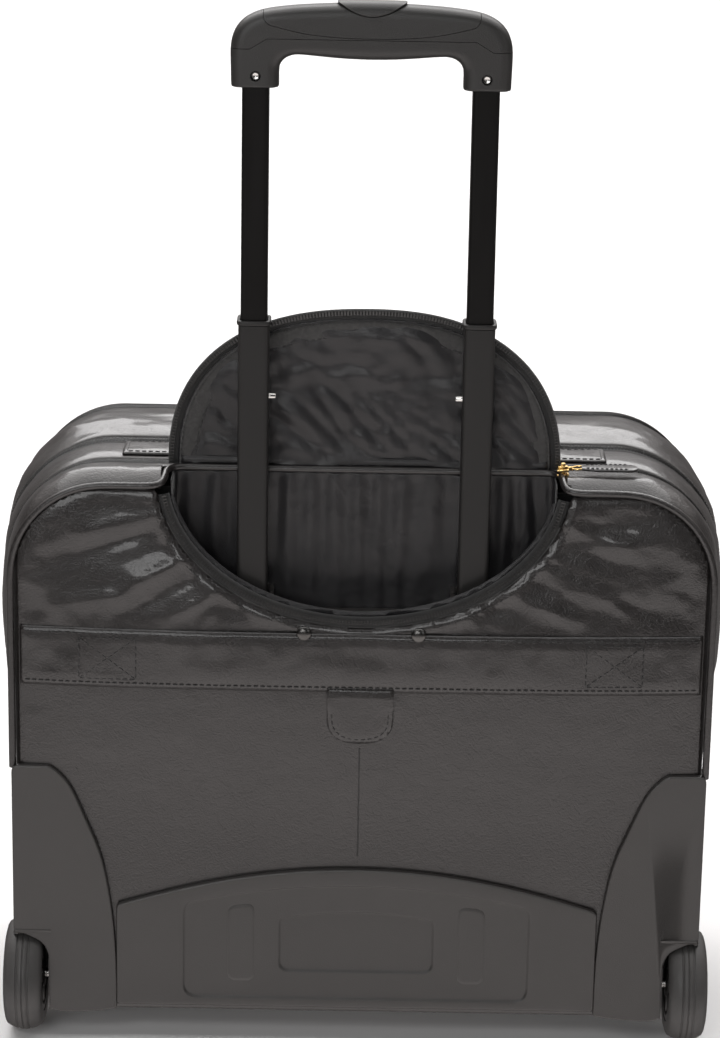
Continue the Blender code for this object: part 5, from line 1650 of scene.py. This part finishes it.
dish_at = at(0.0, grip_mid, 0.6594)
parting = parting_line + [(-x, z) for x, z in reversed(parting_line[:-1])]
parting += [(x, z - 0.0003) for x, z in reversed(parting)]
slit = plate(parting, [(grip_mid - 0.02, 0.0), (grip_mid + 0.02, 0.0)])
shell = carved(lofted(grip_loops), [prism(seat_half, 0.00015), slit] + tube_ways())
piece("grip_shell_moulding", shell, grip_plastic, "upper_stage", ["grip_shell"], crease=42, flats=True)
button_well = [(0.0204 * math.cos(t), 0.0074 * math.sin(t)) for t in [math.tau * k / 60 for k in range(60)]]
well = lofted([[at(x * 1.014, grip_mid + d * 1.30, z) for x, d in button_well] for z in (0.6400, 0.664)])
dish_size = (0.0214, 0.0178, 0.0142)
cover = carved(
    carved(lofted(grip_loops), [prism(seat_half, -0.00015)], "INTERSECT"), [bowl(dish_at, dish_size), well]
)
cap = carved(lofted(proud), [bowl(dish_at, (0.0210, 0.0175, 0.0138))], "INTERSECT")
cap = carved(cap, [lofted(grip_loops)])
press = 0.0040
pressed = cap.copy()
bmesh.ops.translate(pressed, vec=(0, 0, -press), verts=pressed.verts)
inside_grip = way(at(-0.03, grip_mid - 0.0101, 0.60), at(0.03, grip_mid + 0.0101, 0.70), 0.0)
room = carved(pressed, [inside_grip], "INTERSECT")
cover = carved(cover, [room])
piece("grip_cover_moulding", cover, grip_plastic, "upper_stage", ["grip_cover"], crease=42, flats=True)
core = lofted([[at(x * 0.96, grip_mid + d * 0.96, z) for x, d in button_well] for z in (0.6446, 0.6560)])
piece(
    "release_button_moulding", carved(cap, [core], "UNION"), grip_plastic, "button", ["release_button"],
    crease=60,
)


# --------------------------------------------------- bracket, fork and boards
# The bracket is a moulding screwed to the bay's floor, and the fork is a
# pressed steel strip. The boards are stiff sheets covered in lining cloth,
# with a woven binding sewn round their edges.

for node, look in (("tube_bracket", plastic), ("push_fork", tube_black)):
    inner_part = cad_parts[node]
    inner_part.data.materials.clear()
    inner_part.data.materials.append(look)

board_cloth = finish("board_cloth", (0.012, 0.0115, 0.012), 0.72, Sheen_Weight=0.3, Sheen_Roughness=0.4)
board_place = places(board_cloth)
board_weave = plain_weave(board_cloth, board_place, 480.0, 0.4)
two_tone(board_cloth, speckle(board_cloth, board_place, 40.0, 4.0), (0.009, 0.0085, 0.009), (0.019, 0.018, 0.019))
give(board_cloth, "Roughness", between(board_cloth, board_weave, 0.62, 0.82))
relief(board_cloth, (board_weave, 0.00010))

for node in ("rear_board", "laptop_divider", "front_divider"):
    low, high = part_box(node)
    near, far = low.y - rear, high.y - rear
    wide, foot, head = high.x, low.z, high.z
    sheet_line = rounded(
        [(-wide, foot), (wide, foot), (wide, head), (-wide, head)], [0.006, 0.006, 0.045, 0.045], 12
    )
    section = [(near, 0.0012), (near + 0.0003, 0.0003), (near + 0.0008, 0)]
    section += [(far - 0.0008, 0), (far - 0.0003, 0.0003), (far, 0.0012)]
    board = plate(even(sheet_line, 260), section)
    piece(f"{node}_panel", board, board_cloth, "case", [node], crease=60, flats=True)
    bound = [at(x, (near + far) / 2, z) for x, z in inset(even(sheet_line, 200), 0.0012)]
    loops = []
    for k, place in enumerate(bound):
        ahead = (bound[(k + 1) % len(bound)] - bound[k - 1]).normalized()
        side, deep = ahead.cross(Vector((0, 1, 0))), Vector((0, (far - near) / 2 + 0.0002, 0))
        turns = [math.tau * j / 8 for j in range(8)]
        loops.append([place + side * (0.0016 * math.cos(t)) + deep * math.sin(t) for t in turns])
    piece(f"{node}_binding", skinned(loops + loops[:1]), tape, "case", (), crease=80)


# -------------------------------------------------- top patch and carry handle
# A leather patch is sewn along the middle gusset. Two loops stand up from it
# and hold the ends of a handle rolled from the same leather.

patch_low, patch_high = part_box("top_patch")
patch_half = patch_high.x
patch_near, patch_far = patch_low.y - rear, patch_high.y - rear
gusset_lift = soft_strip(0.0012, 0.0006, 7.0)


def on_top(x, depth, lift):
    """A place a little above the middle gusset."""
    share = 0.5 - x / 0.9
    z = gusset_lift(share, (depth - middle_near) / (middle_far - middle_near), Vector((x, depth, top_z)))
    return at(x, depth, top_z + z + lift)


def patch_place(u, v):
    """The long patch, thinner under its stitches."""
    x, depth = patch_half * (2 * u - 1), patch_near + (patch_far - patch_near) * v
    edge = min(patch_half - abs(x), depth - patch_near, patch_far - depth)
    sewn = 0.0004 * math.exp(-(((edge - 0.0030) / 0.0009) ** 2)) + 0.0006 * (1 - smooth(edge / 0.0014))
    return on_top(x, depth, 0.0018 - sewn + 0.0002 * crumple(Vector((x, depth, 5)), 60.0))


patch = woven(150, 20, patch_place)
face_out(patch, at(0, 0.066, 0.2))
piece("top_patch_leather", patch, leather, "middle_section", ["top_patch"], wall=0.0013)
for sign in (-1, 1):
    arch_top = [
        (0.0660 + 0.0060 * math.cos(t), 0.3762 + 0.0060 * math.sin(t))
        for t in [math.pi * k / 20 for k in range(21)]
    ]
    loop_line = even([(0.0600, 0.3705), (0.0720, 0.3705)] + arch_top, 72)
    loop_section = [
        (0.0706, 0.0012), (0.0709, 0.0004), (0.0716, 0), (0.0780, 0), (0.0787, 0.0004), (0.0790, 0.0012)
    ]
    lug = plate(loop_line, [(sign * x, by) for x, by in loop_section], along="side")
    foot_line = rounded([(-0.0105, -0.0095), (0.0105, -0.0095), (0.0105, 0.0095), (-0.0105, 0.0095)], [0.004] * 4)
    foot = [[on_top(sign * 0.0830 + x, 0.0660 + d, lift) for x, d in inset(even(foot_line, 48), by)] for lift, by in
            ((0.0016, 0.0), (0.0026, 0.0), (0.0029, 0.0005))]
    lofted(foot, lug)
    piece(f"handle_loop_{'left' if sign < 0 else 'right'}", lug, leather, "middle_section", crease=50, flats=True)
row_x, row_near, row_far = patch_half - 0.003, patch_near + 0.003, patch_far - 0.003
patch_rows = [[(row_x, depth), (-row_x, depth)] for depth in (row_near, row_far)]
patch_rows += [[(x, row_near), (x, row_far)] for x in (-row_x, row_x)]
patch_rows += [[(x, row_near + 0.001), (x, row_far - 0.001)] for x in (-0.1010, 0.1010)]
fine_rows = []
for (x0, d0), (x1, d1) in patch_rows:
    count = max(2, int(math.hypot(x1 - x0, d1 - d0) / 0.004))
    fine_rows.append([(x0 + (x1 - x0) * k / count, d0 + (d1 - d0) * k / count) for k in range(count + 1)])
stitches("patch_stitches", "middle_section", fine_rows, lambda x, d: on_top(x, d, 0.0017))

handle_low, handle_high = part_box("carry_handle")
bar_z = (handle_low.z + handle_high.z) / 2
bar_wide, bar_tall = 0.0070, (handle_high.z - handle_low.z) / 2
bend_radius = 0.0160
side_x = handle_high.x - bar_wide
front_depth = handle_high.y - rear - bar_wide
route = [(side_x, 0.0605 + 0.0012 * k) for k in range(6)]
route += [
    (side_x - bend_radius * (1 - math.cos(t)), front_depth - bend_radius + bend_radius * math.sin(t))
    for t in [math.pi / 2 * k / 12 for k in range(13)]
]
route += [(side_x - bend_radius - 0.0045 * k, front_depth) for k in range(1, 11)] + [(0.0, front_depth)]
route += [(-x, depth) for x, depth in reversed(route[:-1])]
handle_loops = []
for k, (x, depth) in enumerate(route):
    x0, d0 = route[max(k - 1, 0)]
    x1, d1 = route[min(k + 1, len(route) - 1)]
    ahead = Vector((x1 - x0, d1 - d0, 0)).normalized()
    side = ahead.cross(Vector((0, 0, 1)))
    end = min(k, len(route) - 1 - k)
    slim = (0.82, 0.95)[end] if end < 2 else 1.0
    full = 0.86 + 0.14 * smooth((side_x - bend_radius - abs(x)) / 0.012)
    loop = []
    for j in range(24):
        turn = math.tau * j / 24
        out = math.copysign(abs(math.cos(turn)) ** 0.8, math.cos(turn)) * bar_wide * slim * full
        up = math.copysign(abs(math.sin(turn)) ** 0.8, math.sin(turn)) * bar_tall * slim * full
        loop.append(at(x, depth, bar_z) + side * out + Vector((0, 0, up)))
    handle_loops.append(loop)
handle = lofted(handle_loops)
piece("carry_handle_leather", handle, leather, "handle", ["carry_handle"], crease=70)
sewn_bar = [(x, d) for x, d in route if abs(x) < side_x - bend_radius]
handle_rows = [[(x, d + s * 0.0046) for x, d in sewn_bar] for s in (-1, 1)]
stitches("handle_stitches", "handle", handle_rows, lambda x, d: at(x, d, bar_z + bar_tall * 0.80), 0.0026, 0.0010)
for sign in (-1, 1):
    pivot = [(0, -0.0002), (0.0022, 0.0), (0.0026, 0.0006), (0.0026, 0.0094), (0, 0.0096)]
    side = "left" if sign < 0 else "right"
    piece(
        f"handle_pin_{side}", turned(pivot, at(sign * 0.0698, 0.0660, bar_z), (sign, 0, 0), 20), steel,
        "middle_section",
    )


# -------------------------------------------------------- compartment sliders
# The three compartments' zips run through die-cast sliders, each with a flat
# drop-shaped pull that hangs from its bridge.

for node in ("laptop_zip_slider", "main_zip_slider", "front_zip_slider"):
    low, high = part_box(node)
    near, far, back = low.y - rear, high.y - rear, low.x
    middle = (near + far) / 2
    cast = block((back, near, low.z), (back + 0.0118, far, low.z + 0.0008), 0.0003)
    block((back, near, low.z + 0.0017), (back + 0.0118, far, low.z + 0.0028), 0.0005, work=cast)
    block(
        (back + 0.0030, middle - 0.0012, low.z + 0.0026), (back + 0.0088, middle + 0.0012, high.z), 0.0004,
        work=cast,
    )
    block(
        (back + 0.0046, middle - 0.0016, low.z + 0.0006), (back + 0.0072, middle + 0.0016, low.z + 0.0020), 0.0002,
        work=cast,
    )
    drop = [
        (0.0, 0.0016), (0.0040, 0.0018), (0.0100, 0.0026), (0.0150, 0.0033), (0.0178, 0.0031), (0.0194, 0.0018),
        (0.0198, 0.0),
    ]
    drop = curve_through(drop, 4)
    outline = [(back + 0.0082 + along, middle + out) for along, out in drop]
    outline += [(back + 0.0082 + along, middle - out) for along, out in reversed(drop[:-1])]
    pull_loops = []
    for z, by in (
        (high.z - 0.0012, 0.0004), (high.z - 0.0010, 0.0001), (high.z - 0.0002, 0.0001), (high.z, 0.0004)
    ):
        pull_loops.append([at(x, d, z) for x, d in inset(even(outline, 48), by)])
    lofted(pull_loops, cast)
    body = node.replace("_zip", "")
    piece(f"{node}_cast", cast, brass, body, [node], crease=40)
